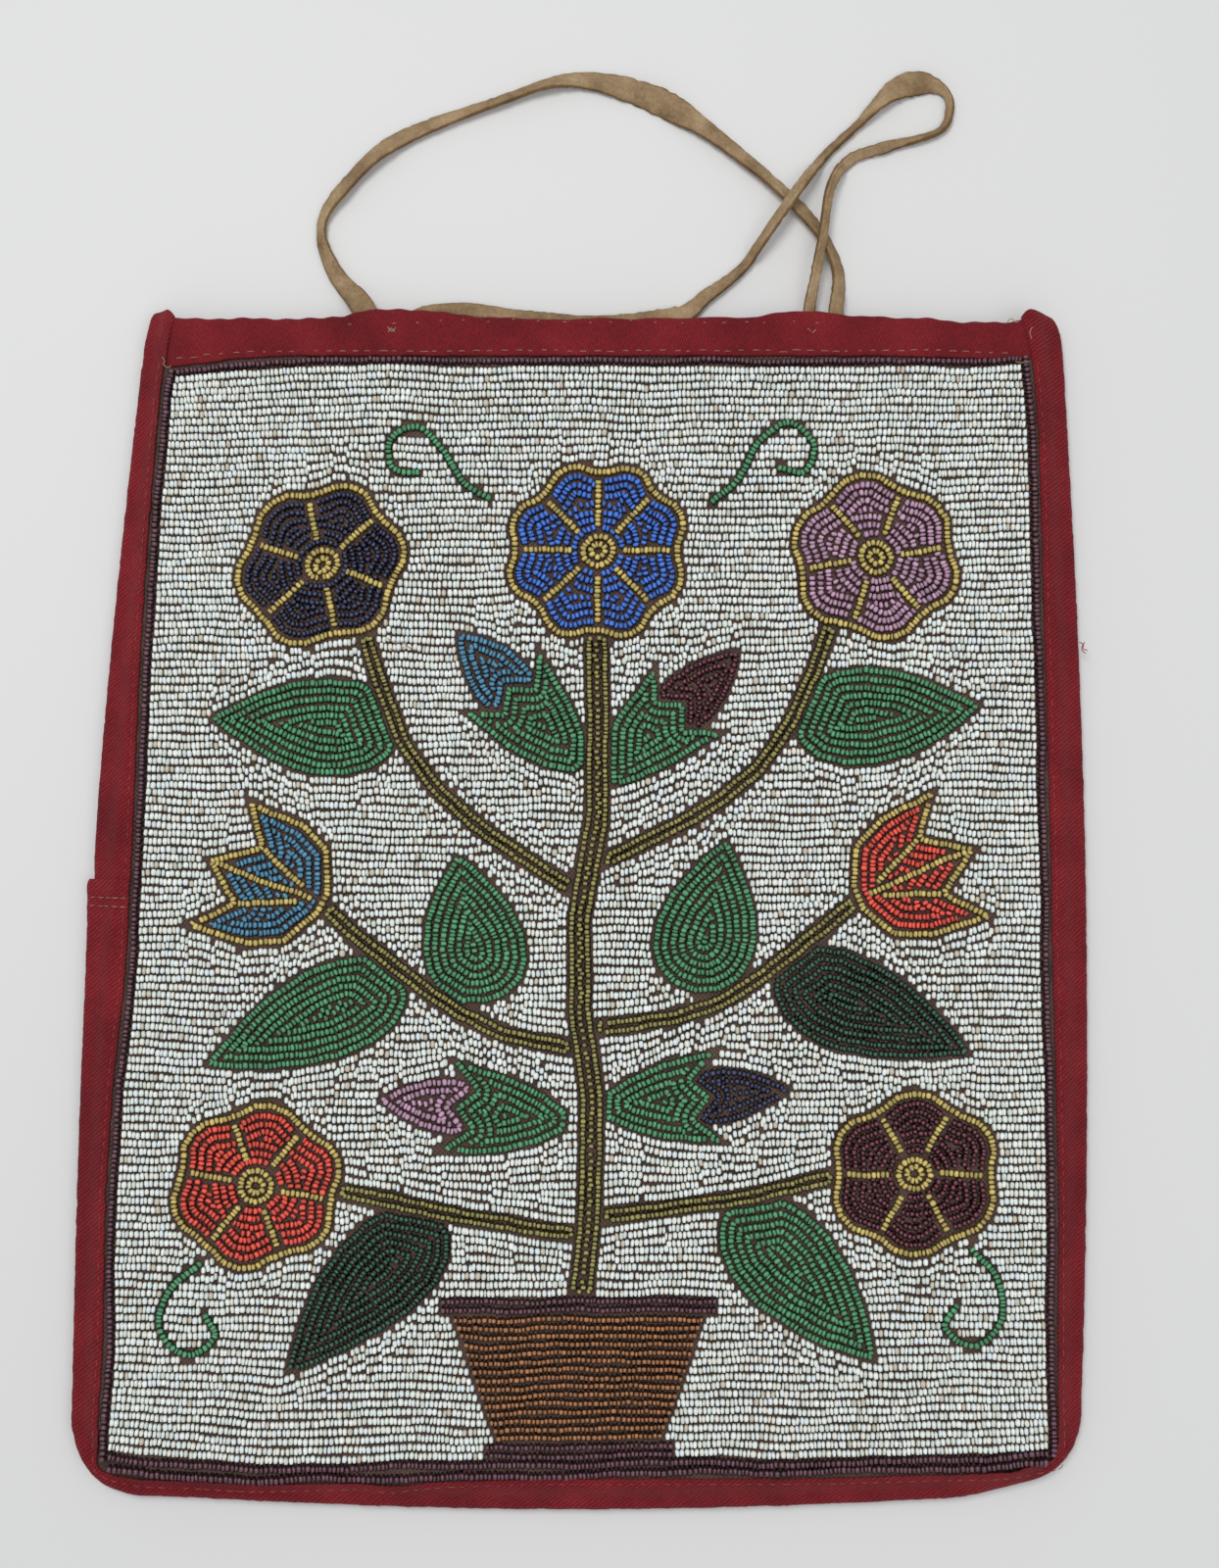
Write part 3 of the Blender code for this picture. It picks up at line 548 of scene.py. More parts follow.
def level_lines(xs, ys, field, level):
    """The closed lines where a grid crosses a level."""
    above = field > level
    links = {}

    def crossing(i, j, down):
        ahead = (i + 1, j) if down else (i, j + 1)
        a, b = field[i, j], field[ahead]
        share = (level - a) / (b - a)
        return (xs[j] + (0 if down else share * GRID), ys[i] + (share * GRID if down else 0))

    mixed_cells = above[:-1, :-1].astype(int) + above[1:, :-1] + above[:-1, 1:] + above[1:, 1:]
    for i, j in zip(*np.nonzero((mixed_cells > 0) & (mixed_cells < 4))):
        edges = []
        if above[i, j] != above[i, j + 1]:
            edges.append((i, j, False))
        if above[i, j + 1] != above[i + 1, j + 1]:
            edges.append((i, j + 1, True))
        if above[i + 1, j] != above[i + 1, j + 1]:
            edges.append((i + 1, j, False))
        if above[i, j] != above[i + 1, j]:
            edges.append((i, j, True))
        for a, b in zip(edges[::2], edges[1::2]):
            links.setdefault(a, []).append(b)
            links.setdefault(b, []).append(a)
    found, seen = [], set()
    for start in sorted(links):
        if start in seen:
            continue
        loop, here = [], start
        while here is not None and here not in seen:
            seen.add(here)
            loop.append(crossing(*here))
            here = next((n for n in links[here] if n not in seen), None)
        if len(loop) > 4:
            found.append(np.array(loop + loop[:1]))
    return found


class Patch:
    """The beads of one motif, kept clear of each other."""

    def __init__(self):
        self.centres, self.axes, self.lengths = np.empty((0, 2)), np.empty((0, 2)), np.empty(0)

    def clash(self, centre, reach_along, reach_across, upto=None):
        away = self.centres[:upto] - centre
        axes = self.axes[:upto]
        on = np.abs(np.sum(away * axes, axis=1)) / reach_along
        off = np.abs(away[:, 0] * axes[:, 1] - away[:, 1] * axes[:, 0]) / reach_across
        return np.any((on < 1) & (off < 1))

    def add(self, centres, axes, lengths):
        self.centres = np.vstack([self.centres, centres])
        self.axes = np.vstack([self.axes, axes])
        self.lengths = np.concatenate([self.lengths, lengths])

    def string(self, line, step=BEAD_STEP):
        """Beads along a line, where no earlier line has them."""
        centres, axes, lengths = beads_on_line(line, step)
        before = len(self.centres)
        for i, (centre, axis, length) in enumerate(zip(centres, axes, lengths)):
            last = max(len(self.centres) - 1, before)
            near_end = i > 2 and np.linalg.norm(centre - centres[0]) < 0.00085
            if near_end or self.clash(centre, 0.00098, 0.00150, last):
                continue
            self.add(centre[None], axis[None], [length])


def ring_beads(loops, lines=()):
    """Rings of beads that follow the outline, the middle filled last. Lines is beadwork to stay clear of."""
    patch = Patch()
    for line in lines:
        patch.add(*beads_on_line(line))
    kept = len(patch.centres)
    xs, ys, field = depth_map(loops)
    deepest = field.max()
    ring = 0
    while deepest - ring * ROW > 0.9 * ROW or ring == 0:
        level = (ring + 0.5) * ROW
        if level >= deepest:
            break
        for line in level_lines(xs, ys, field, level):
            if along(line)[-1] > 2.5 * BEAD_STEP:
                patch.string(line)
        ring += 1
    x, y = np.meshgrid(xs, ys)
    open_to = field > 0.38 * ROW
    spots = np.column_stack([x[open_to], y[open_to]])
    slope_y, slope_x = np.gradient(field, GRID)
    slopes = np.column_stack([slope_x[open_to], slope_y[open_to]])
    free = np.full(len(spots), 9.0)

    def room(centre, axis):
        """How far the free spots are from a bead, where 1 leaves just enough room for one more."""
        away = spots - centre
        on = np.abs(away @ axis) / 0.00114
        off = np.abs(away[:, 0] * axis[1] - away[:, 1] * axis[0]) / 0.00164
        return np.sqrt(on**2 + off**2)

    for centre, axis in zip(patch.centres, patch.axes):
        free = np.minimum(free, room(centre, axis))
    while len(spots) and free.max() > 1.0:
        best = int(np.argmax(free + 0.4 * field[open_to] / deepest))
        best = best if free[best] > 1.0 else int(np.argmax(free))
        if len(patch.axes):
            axis = patch.axes[np.argmin(np.linalg.norm(patch.centres - spots[best], axis=1))]
        else:
            slope = slopes[best]
            size = np.linalg.norm(slope)
            axis = np.array((-slope[1], slope[0])) / size if size > 0.3 else np.array((1.0, 0))
        patch.add(spots[best][None], axis[None], [BEAD_STEP * 0.95])
        free = np.minimum(free, room(spots[best], axis))
    return patch.centres[kept:], patch.axes[kept:], patch.lengths[kept:]


# The bag's outer edge, densely, from the top left corner round the base to the top right corner


def side_x(side, y):
    """X of the bag's left (-1) or right (1) edge."""
    share = (y - BASE_Y) / HEIGHT
    bow = LEFT_BOW if side < 0 else RIGHT_BOW
    half = (BASE_WIDTH + (TOP_WIDTH - BASE_WIDTH) * share) / 2 + bow * np.sin(pi * share)
    return TOP_SHIFT * (share - 0.5) + side * half


# Tables in mm. The widths of the side bindings, by height
LEFT_WIDTHS = [
    (156, 8.6), (143, 7.4), (137, 6.9), (112, 7.6), (84, 8.5), (55, 9.6), (30, 10.7), (14, 11.3), (2, 11.4),
    (-15, 11.7), (-27, 11.3), (-50, 9.8), (-79, 8.8), (-118, 9.1), (-134, 8.2), (-160, 8.0),
]
RIGHT_WIDTHS = [
    (156, 12.0), (145, 9.7), (138, 9.4), (122, 9.0), (77, 10.1), (30, 10.4), (-14, 10.3), (-50, 9.4),
    (-79, 8.5), (-108, 8.0), (-129, 7.5), (-142, 6.8), (-160, 6.4),
]
# The base binding's inner edge, the two rows of the base border and the foot of the white beads above them
BASE_LINE = [
    (-135, -147.5), (-127, -148.1), (-123, -149.9), (-116, -151.3), (-100, -151.8), (-88, -152.6),
    (-72, -152.3), (-57, -151.8), (-52.6, -153.1), (-41, -151.6), (-16, -150.6), (60, -150.6), (86, -149.8),
    (108, -149.4), (118, -147.6), (128, -146.5),
]
LOWER_ROW = [
    (-128, -147.9), (-112, -149.7), (-100, -150.2), (-82, -151.1), (-69.5, -149.9), (-52.5, -151.1),
    (-41, -150.2), (22, -149.2), (86, -148.3), (120, -146.6),
]
UPPER_ROW = [
    (-128, -145.1), (-112, -146.7), (-94, -147.4), (-82, -148.4), (-69.5, -147.9), (-41, -147.4),
    (-15, -146.8), (60, -146.8), (86, -146.1), (120, -144.3),
]
WHITE_FOOT = [
    (-124, -143.8), (-112, -144.6), (-94, -146.3), (-82, -147.0), (-68, -146.8), (-41, -146.0),
    (25, -145.5), (86, -145.0), (120, -143.2),
]
# The fold of the mouth
MOUTH = [
    (-120, 154.6), (-71.5, 154.6), (-66, 155.2), (-59.7, 157.1), (-50.2, 157.2), (-42.6, 156.6),
    (-37, 155.9), (-28, 154.9), (-6, 154.4), (26, 154.8), (45, 155.0), (52, 156.2), (57, 156.8),
    (62, 156.6), (73, 155.1), (89, 154.6), (99, 153.8), (110, 153.5), (118, 154.6),
]


def read(table, place):
    """A table's value at a place, in metres."""
    places, values = np.array(sorted(table)).T / 1000
    return np.interp(place, places, values)


def left_in(y):
    """X of the left binding's inner edge."""
    return side_x(-1, y) + read(LEFT_WIDTHS, y)


def right_in(y):
    """X of the right binding's inner edge."""
    return side_x(1, y) - read(RIGHT_WIDTHS, y)


def base_in(x):
    """Y of the base binding's inner edge."""
    return read(BASE_LINE, x)


def edge_stations():
    """Points of the edge, the way in from each, and how wide the binding is there."""
    corner_y = BASE_Y + CORNER_RADIUS
    left = np.array((side_x(-1, corner_y) + CORNER_RADIUS, corner_y))
    right = np.array((side_x(1, corner_y) - CORNER_RADIUS, corner_y))
    points = [(side_x(-1, y), y) for y in np.linspace(TOP_Y, corner_y, 130, endpoint=False)]
    for turn in np.linspace(pi, 1.5 * pi, 26, endpoint=False):
        points.append(left + CORNER_RADIUS * np.array((cos(turn), sin(turn))))
    for share in np.linspace(0, 1, 110, endpoint=False):
        points.append((left[0] + (right[0] - left[0]) * share, BASE_Y - BASE_BOW * sin(pi * share)))
    for turn in np.linspace(-pi / 2, 0, 26, endpoint=False):
        points.append(right + CORNER_RADIUS * np.array((cos(turn), sin(turn))))
    points += [(side_x(1, y), y) for y in np.linspace(corner_y, TOP_Y, 131)]
    points = np.array(points)
    tangents = unit(np.gradient(points, axis=0))
    normals = np.column_stack([-tangents[:, 1], tangents[:, 0]])
    fade = np.minimum(np.minimum(np.arange(len(points)), np.arange(len(points))[::-1]) / 8, 1)[:, None]
    level = np.where(points[:, :1] < 0, 1.0, -1.0) * np.array((1.0, 0.0))
    normals = unit(normals * fade + level * (1 - fade))
    widths = []
    for point, way in zip(points, normals):
        reach = np.arange(0.0012, 0.030, 0.00005)
        x, y = point[0] + way[0] * reach, point[1] + way[1] * reach
        inside = (x > left_in(y)) & (x < right_in(y)) & (y > base_in(x))
        widths.append(reach[np.argmax(inside)])
    widths = np.convolve(np.pad(widths, 1, mode="edge"), np.ones(3) / 3, mode="valid")
    return points, normals, widths


EDGE, INWARD, WIDTHS = edge_stations()
EDGE_RUN = along(EDGE)
# The station in the lower right corner where the right strip starts
RIGHT_START = 279


def inset(distance):
    """The edge moved in past the binding by a distance."""
    return EDGE + INWARD * (WIDTHS + distance)[:, None]


# The beadwork

TOP_EDGE_Y = TOP_Y - TOP_BINDING
# Distances in from the binding: the white beads, the side rows of plum beads and the top row
SIDE_MARGIN, SIDE_ROW, TOP_ROW = 0.0031, 0.0017, 0.00125
BORDER_STEP, BASE_BORDER_STEP = 0.00122, 0.00118

FIELD = outlines("white_beads")
FIELD_ENDS = np.vstack(FIELD), np.vstack([np.roll(loop, -1, axis=0) for loop in FIELD])
FIELD_TOP_Y, FIELD_BASE_Y = FIELD[0][:, 1].max(), FIELD[0][:, 1].min()
FIELD_ROWS = round((FIELD_TOP_Y - FIELD_BASE_Y) / ROW)
FIELD_PITCH = (FIELD_TOP_Y - FIELD_BASE_Y) / FIELD_ROWS


def motif_stretches(y):
    """The stretches of a level line that the picture's pads take up."""
    if not FIELD_BASE_Y < y < FIELD_TOP_Y:
        return []
    white = crossings(FIELD, y)
    return [(before[1], after[0]) for before, after in zip(white, white[1:])]


def on_field(x, y):
    """A point of the picture's grid, as a point of the bag."""
    place_y = (FIELD_TOP_Y + FIELD_BASE_Y) / 2 + (FIELD_TOP_Y - FIELD_BASE_Y) / 2 * y / GRID_Y
    white = crossings(FIELD, min(max(place_y, FIELD_BASE_Y + 1e-5), FIELD_TOP_Y - 1e-5))
    left, right = white[0][0], white[-1][1]
    return np.array(((left + right) / 2 + (right - left) / 2 * x / GRID_X, place_y))


def drawn(points, step=0.0004):
    """A smooth line through points of the picture's grid."""
    return even_line(smooth_line([on_field(*p) for p in points], 40), step)


# Small green tendrils, only in beads
TENDRILS = [
    drawn([(-31, 116), (-39, 121), (-45, 130), (-53, 137), (-61, 133), (-60, 125), (-52, 124)]),
    drawn([(32, 115), (40, 122), (46, 133), (55, 138), (62, 132), (59, 124), (51, 125)]),
    drawn([(-101, -101), (-109, -108), (-112, -119), (-105, -127), (-97, -122), (-100, -115)]),
    drawn([(104, -97), (111, -105), (113, -117), (106, -125), (98, -120), (101, -113)]),
]

WHITE_LOW_Y = -0.1456
WHITE_ROWS = int((FIELD_TOP_Y - WHITE_LOW_Y) / FIELD_PITCH + 0.5)
WHITE_BASE_Y = FIELD_TOP_Y - WHITE_ROWS * FIELD_PITCH


def soft_line(table, x):
    """A table's line, smoothed as a row of beads follows it."""
    return sum(read(table, x + step) for step in np.linspace(-0.005, 0.005, 7)) / 7


def settle(place):
    """Bends the lower rows so that the last one lies along the border's."""
    x, y = place[:, 0], place[:, 1]
    short = soft_line(WHITE_FOOT, x) - WHITE_BASE_Y
    return np.column_stack([x, y + short * np.exp(-np.maximum(y - WHITE_BASE_Y, 0) / 0.026)])


def near_motifs(centres):
    """How far each white bead moves up or down so that its row lies along the motif above or below it."""
    a, b = FIELD_ENDS
    upright = np.abs(a[:, 0] - b[:, 0]) <= 1e-7
    a, b = a[~upright], b[~upright]
    middle = (a + b) / 2
    border = []
    for x, y in middle:
        hit = (a[:, 0] <= x) != (b[:, 0] <= x)
        level = a[hit, 1] + (x - a[hit, 0]) * (b[hit, 1] - a[hit, 1]) / (b[hit, 0] - a[hit, 0])
        border.append(y < level.min() + 1e-5 or y > level.max() - 1e-5)
    border = np.array(border)
    inside = (middle[:, 0] > left_in(middle[:, 1]) + 0.006) & (middle[:, 0] < right_in(middle[:, 1]) - 0.006)
    a, b = a[inside & ~border], b[inside & ~border]
    way = b - a
    flat = way[:, 0] ** 2 / np.sum(way**2, axis=1)
    white_above = (way[:, 0] > 0) == (area(FIELD[0]) > 0)
    moves = np.zeros(len(centres))
    for i, (x, y) in enumerate(centres):
        hit = (a[:, 0] <= x) != (b[:, 0] <= x)
        level = a[hit, 1] + (x - a[hit, 0]) * way[hit, 1] / way[hit, 0]
        for above, sign in ((True, 1), (False, -1)):
            away = sign * (y - level) / FIELD_PITCH
            near = (white_above[hit] == above) & (away > 0) & (away < 5)
            if near.any():
                nearest = np.argmin(np.where(near, away, 99))
                rows, first = divmod(away[nearest] - 0.08, 1)
                moves[i] -= sign * (first + 0.08 - 0.5) * flat[hit][nearest] * max(0, 1 - rows / 5)
    return moves * FIELD_PITCH


def clear_of_motifs(centres, lengths):
    """Which white beads have none of their corners on a motif."""
    a, b = FIELD_ENDS
    level = a[:, 1] == b[:, 1]
    a, b = a[~level], b[~level]
    low, high = np.minimum(a[:, 1], b[:, 1]), np.maximum(a[:, 1], b[:, 1])
    x, y = centres.T
    tested = (x > left_in(y) + 0.007) & (x < right_in(y) - 0.007)
    tested &= (y > FIELD_BASE_Y + 0.0140) & (y < FIELD_TOP_Y - 0.0010)
    clear = np.ones(len(centres), bool)
    for i in np.flatnonzero(tested):
        near = (low < y[i] + 0.001) & (high > y[i] - 0.001)
        near_a, near_b = a[near], b[near]
        for aside in (-0.33 * lengths[i], 0.33 * lengths[i]):
            for rise in (-0.26 * FIELD_PITCH, 0.26 * FIELD_PITCH):
                px, py = x[i] + aside, y[i] + rise
                hit = (near_a[:, 1] > py) != (near_b[:, 1] > py)
                share = (py - near_a[hit, 1]) / (near_b[hit, 1] - near_a[hit, 1])
                beyond = near_a[hit, 0] + (near_b[hit, 0] - near_a[hit, 0]) * share > px
                clear[i] &= np.count_nonzero(beyond) % 2 == 1
    return clear


def make_white():
    """The white field, row by row, in four pieces."""
    rows = [FIELD_TOP_Y - (row + 0.5) * FIELD_PITCH for row in range(WHITE_ROWS)]
    lines = np.vstack([even_line(t, 0.0003) for t in TENDRILS])
    centres, lengths = [], []
    for y in rows:
        stretches = [(left_in(y) + SIDE_MARGIN, right_in(y) - SIDE_MARGIN)]
        for a, b in motif_stretches(y):
            for level in (y - 0.20 * FIELD_PITCH, y + 0.20 * FIELD_PITCH):
                for c, d in motif_stretches(level):
                    a = c if 0 < a - c < 0.0014 else a
                    b = d if 0 < d - b < 0.0014 else b
            stretches = without(stretches, a, b)
        for x0, y0 in lines[np.abs(lines[:, 1] - y) < 0.0016]:
            wide = 0.00095 if abs(y0 - y) < 0.0009 else 0.0004
            stretches = without(stretches, x0 - wide, x0 + wide)
        for a, b in stretches:
            if b - a > 0.0008:
                middles, sizes = bead_run(b - a - 0.0001)
                centres.append(np.column_stack([a + 0.00005 + middles, np.full(len(middles), y)]))
                lengths.append(sizes)
    centres, lengths = np.vstack(centres), np.concatenate(lengths)
    moved = centres + np.column_stack([np.zeros(len(centres)), near_motifs(centres)])
    fits = clear_of_motifs(moved, lengths)
    centres = np.where(fits[:, None], moved, centres)
    kept = fits | clear_of_motifs(centres, lengths)
    centres, lengths = centres[kept], lengths[kept]
    axes = np.tile((1.0, 0.0), (len(centres), 1))
    for i, band in enumerate(np.array_split(np.arange(len(centres)), 4)):
        made = bead_mesh(f"white_beads_{i + 1}", "white", centres[band], axes[band], lengths[band])
        piece(made, "white_beads", *(["white_beads"] if i == 0 else []))


def make_borders():
    """The rows of plum beads round the field."""

    def plum(node, beads, wide):
        piece(bead_mesh(f"{node}_beads", "plum", *beads, bent=False, wide=wide), "plum_beads", node)

    runs = np.linspace(TOP_EDGE_Y - 0.0002, -0.1475, 400)
    for node, inner, side in (("left_border", left_in, 1), ("right_border", right_in, -1)):
        line = np.column_stack([inner(runs) + side * SIDE_ROW, runs])
        line = line[runs > base_in(line[:, 0]) + 0.0014]
        plum(node, beads_on_line(line, BORDER_STEP), 1.12)
    rows = []
    for table in (LOWER_ROW, UPPER_ROW):
        left = left_in(-0.147) + SIDE_ROW + 0.0012
        right = right_in(-0.145) - SIDE_ROW - 0.0012
        x = np.linspace(left, right, 300)
        rows.append(beads_on_line(np.column_stack([x, soft_line(table, x)]), BASE_BORDER_STEP))
    both = [np.concatenate(pair) for pair in zip(*rows)]
    plum("base_border", both, 1.24)
    y = TOP_EDGE_Y - TOP_ROW
    line = np.array([(left_in(y) + SIDE_ROW + 0.0011, y), (right_in(y) - SIDE_ROW - 0.0011, y)])
    plum("top_border", beads_on_line(line, BORDER_STEP), 1.12)


# Each round flower: how many petals it has and the turn of its first one, as in the CAD source
FLOWERS = {
    "crown_flower": (8, 0.39),
    "left_high_flower": (6, 0.20),
    "right_high_flower": (6, 0.70),
    "left_low_flower": (6, 0.35),
    "right_low_flower": (6, 0.52),
}
# The lines up a cup, in shares of its size, and each cup's foot, size and the direction of its mouth
CUP_LINES = [((-0.06, 0.22), (-0.25, 0.66)), ((0.06, 0.22), (0.25, 0.66)), ((0.0, 0.12), (0.0, 0.98))]
CUPS = {"left_cup": ((-71, -1), 34, 2.75), "right_cup": ((72, 1), 34, 0.40)}


def flower_lines(name):
    """Ochre lines between the petals of a flower, or up a cup."""
    if name in FLOWERS:
        count, turn = FLOWERS[name]
        eye = outlines(f"{name}_eye")[0].mean(axis=0)
        petals = outlines(f"{name}_petals")[0]
        lines = []
        for i in range(count):
            angle = turn + pi / count * (2 * i + 1)
            way = np.array((cos(angle), sin(angle)))
            reaches = [(np.linalg.norm(p - eye), (p - eye) @ way) for p in petals]
            far = min(reach for reach, ahead in reaches if ahead > 0.96 * reach)
            lines.append(even_line(np.array([eye + way * 0.0066, eye + way * (far - 0.0008)]), 0.0005))
        return lines
    foot, size, turn = CUPS[name]
    ahead = np.array((cos(turn), sin(turn))) * size
    aside = np.array((ahead[1], -ahead[0]))
    lines = []
    for start, end in CUP_LINES:
        ends = [np.array(foot) + aside * x + ahead * y for x, y in (start, end)]
        lines.append(even_line(np.array([on_field(*p) for p in ends]), 0.0005))
    return lines


def strung(lines):
    """The beads of several lines together."""
    return [np.concatenate(part) for part in zip(*(beads_on_line(line) for line in lines))]


def make_motifs():
    """The picture: a patch of beads in place of each of the CAD's pads, and the lines that lie over them."""
    every_line = []
    for node in sorted(NODES):
        slot = NODES[node].data.materials[0].name
        if not slot.endswith("_beads") or node == "white_beads" or node.endswith("_border"):
            continue
        loops = outlines(node)
        if node.startswith("bowl"):
            beads = filled_rows(loops[:1])
        elif node.endswith("_outline"):
            beads = ring_beads(loops[:1])
            ring = depth_of(loops[0], beads[0])
            keep = ring < 0.95 * ROW
            beads = tuple(part[keep] for part in beads)
        else:
            name = node.removesuffix("_petals")
            lines = flower_lines(name) if name != node else ()
            every_line += lines
            beads = ring_beads(loops, lines=lines)
        colour = slot.removesuffix("_beads")
        piece(bead_mesh(f"{node}_beads", colour, *beads), slot, node)
    piece(bead_mesh("flower_lines", "ochre", *strung(every_line)), "ochre_beads")
    piece(bead_mesh("tendrils", "green", *strung(TENDRILS)), "green_beads")


def depth_of(loop, places):
    """Distance of each place from a loop."""
    nearest = np.full(len(places), 1.0)
    for a, b in zip(loop, np.roll(loop, -1, axis=0)):
        way = b - a
        share = np.clip(((places - a) @ way) / (way @ way + 1e-18), 0, 1)
        nearest = np.minimum(nearest, np.linalg.norm(places - a - share[:, None] * way, axis=1))
    return nearest


# The wool bindings

# The seam lines across the lower strip, past its start, and the steps of the stitches and of the sections
SEAM_LINES, SIDE_STITCH, TOP_STITCH, SECTION_STEP = (0.0021, 0.0044), 0.0031, 0.0036, 0.0011

wool = wool_material("red_wool", 480.0, 20)
side_wool = wool_material("red_side_wool", 340.0, -128)
pucker = Ripple(21, 0.008, 0.03)
crumple = Ripple(22, 0.003, 0.007)
fray = Ripple(23, 0.0012, 0.003)


def front_height(n):
    """The wool's upper face over the sloping margin."""
    share = np.clip((n - SLOPE_START) / (SIDE_BINDING - SLOPE_START), 0, 1)
    return SEAM_TOP_Z + (FLAT_TOP_Z - SEAM_TOP_Z) * share * share * (3 - 2 * share)


def binding_profile(width):
    """The wool's section as (inset, height), from its inner edge on the front, round the outside, to the back."""
    shares = [1.0, 0.985, 0.95, 0.90, 0.85, 0.80, 0.75, 0.70, 0.64, 0.57, 0.49, 0.41, 0.32]
    insets = [max(width * s, SLOPE_START) for s in shares] + [SLOPE_START]
    outer = [(n, front_height(n)) for n in insets]
    outer[0] = (width, front_height(width) - 0.0007)
    outer[1] = (outer[1][0], front_height(width) - 0.00012)
    outer += [(0.0012, 0.0045), (0.0005, 0.0040), (0.0001, 0.0030), (0.0, 0.0020), (0.0002, 0.0011)]
    outer += [(0.0006, 0.0004), (0.0014, 0.00002), (0.0040, 0.0), (SIDE_BINDING, 0.0)]
    inner = [(SIDE_BINDING, WOOL), (0.0040, WOOL), (0.0016, WOOL), (0.0010, 0.0018), (0.0012, 0.0032)]
    inner += [(n, front_height(n) - WOOL) for n in insets[:0:-1]]
    return outer + inner


def mouth_end(n, width, side):
    """How far above the mouth a side binding ends, by distance from its outer edge."""
    n = np.maximum(n, 0)
    inner = 0.0021 * np.clip((n - width + 0.0026) / 0.0026, 0, 1) ** 2
    if side < 0:
        return 0.0009 - 0.0044 * (1 - np.minimum(n / 0.0026, 1)) ** 2 - inner
    slope = 0.0007 - 0.0016 * (1 - np.minimum(n / 0.009, 1))
    return slope - 0.0044 * (1 - np.minimum(n / 0.0034, 1)) ** 2 - inner


def bind(name, first, last, start_out=0.0, end_in=0.0):
    """A side binding along a stretch of the edge: a closed strip with gathers, folds and worn edges."""
    middle = np.arange(first + SECTION_STEP, last - 0.0006, SECTION_STEP)
    run = np.concatenate([[first, first + 0.0003], middle, [last - 0.0003, last]])
    spots, ways = points_at(run, EDGE_RUN, EDGE), points_at(run, EDGE_RUN, INWARD)
    corners = []
    for s, spot, way, width in zip(run, spots, ways, np.interp(run, EDGE_RUN, WIDTHS)):
        n, z = np.array(binding_profile(width)).T
        place = spot + way * n[:, None]
        upper = np.clip((z - 0.0025) / 0.003, 0, 1)
        soft = 0.00018 * pucker(place[:, 0] * 2, place[:, 1]) + 0.00010 * crumple(place[:, 0], place[:, 1])
        stitch = 0.00022 * hump(s % SIDE_STITCH, 0.0008, 0.0015) * hump(n, 0.0007, width - 0.0013)
        to_mouth = TOP_Y - spot[1]
        fold_y, fold_n, reach = (0.006, 0.0029, 0.026) if spot[0] < 0 else (0.131, 0.0026, 0.013)
        fold = 0.00042 * hump(n, 0.00045, width - fold_n) * np.exp(-(((spot[1] - fold_y) / reach) ** 4))
        bulge = 0.0008 * hump(to_mouth, 0.006) * hump(n, 0.003, 0.8 * width)
        z = z + upper * (soft - stitch - fold + bulge - 0.0008 * hump(to_mouth, 0.0005))
        if start_out:
            into = s - run[0]
            z = z + upper * 0.0007 * hump(into, 0.006)
            lines = sum(hump(into, 0.0004, line) for line in SEAM_LINES)
            z = z - upper * (0.00022 * lines + 0.0008 * hump(run[-1] - s, 0.0010))
            n = n - start_out * (np.exp(-into / 0.014) - 0.6 * np.exp(-into / 0.0006)) * (n < 0.004)
        drawn_in = end_in * np.exp(-(run[-1] - s) / 0.008) + 0.0008 * np.exp(-to_mouth / 0.005)
        if spot[1] < -0.12:
            drawn_in += 0.0024 * hump(spot[0], 0.010, 0.112)
            drawn_in -= 0.0014 * hump(spot[0], 0.0105, -0.129) * hump(spot[1], 0.0105, -0.1498)
        before = front_height(n)
        n = n + drawn_in * np.clip((0.0070 - n) / 0.0030, 0, 1)
        z = z + upper * (front_height(n) - before)
        edge = 0.00008 * pucker(spot[0] * 3 + 0.4, spot[1] * 3) + 0.00005 * fray(spot[0], spot[1])
        place = spot + way * (n + edge * (n < 0.0012) + 1.4 * edge * (n > width * 0.9))[:, None]
        ending = np.clip(1 - (TOP_Y - place[:, 1]) / 0.008, 0, 1) ** 2
        place[:, 1] += ending * mouth_end(n, width, np.sign(spot[0]))
        corners.append(np.column_stack([place, np.maximum(z, 0.0)]))
    return strip(name, corners, side_wool)


def strip(name, sections, material):
    """A closed mesh through like sections, with its two ends filled."""
    sections = np.array(sections)
    count, size = sections.shape[:2]
    faces = []
    for i in range(count - 1):
        for j in range(size):
            k = (j + 1) % size
            faces.append((i * size + j, (i + 1) * size + j, (i + 1) * size + k, i * size + k))
    faces.append(tuple(range(size)))
    faces.append(tuple((count - 1) * size + j for j in reversed(range(size))))
    made = new_mesh(name, sections.reshape(-1, 3), faces, material)
    for end in (1, 2):
        made.data.polygons[len(faces) - end].use_smooth = False
    fix_normals(made)
    return made


def fix_normals(obj):
    """Turns all of a mesh's faces outwards."""
    made = bmesh.new()
    made.from_mesh(obj.data)
    bmesh.ops.recalc_face_normals(made, faces=made.faces)
    made.to_mesh(obj.data)
    made.free()


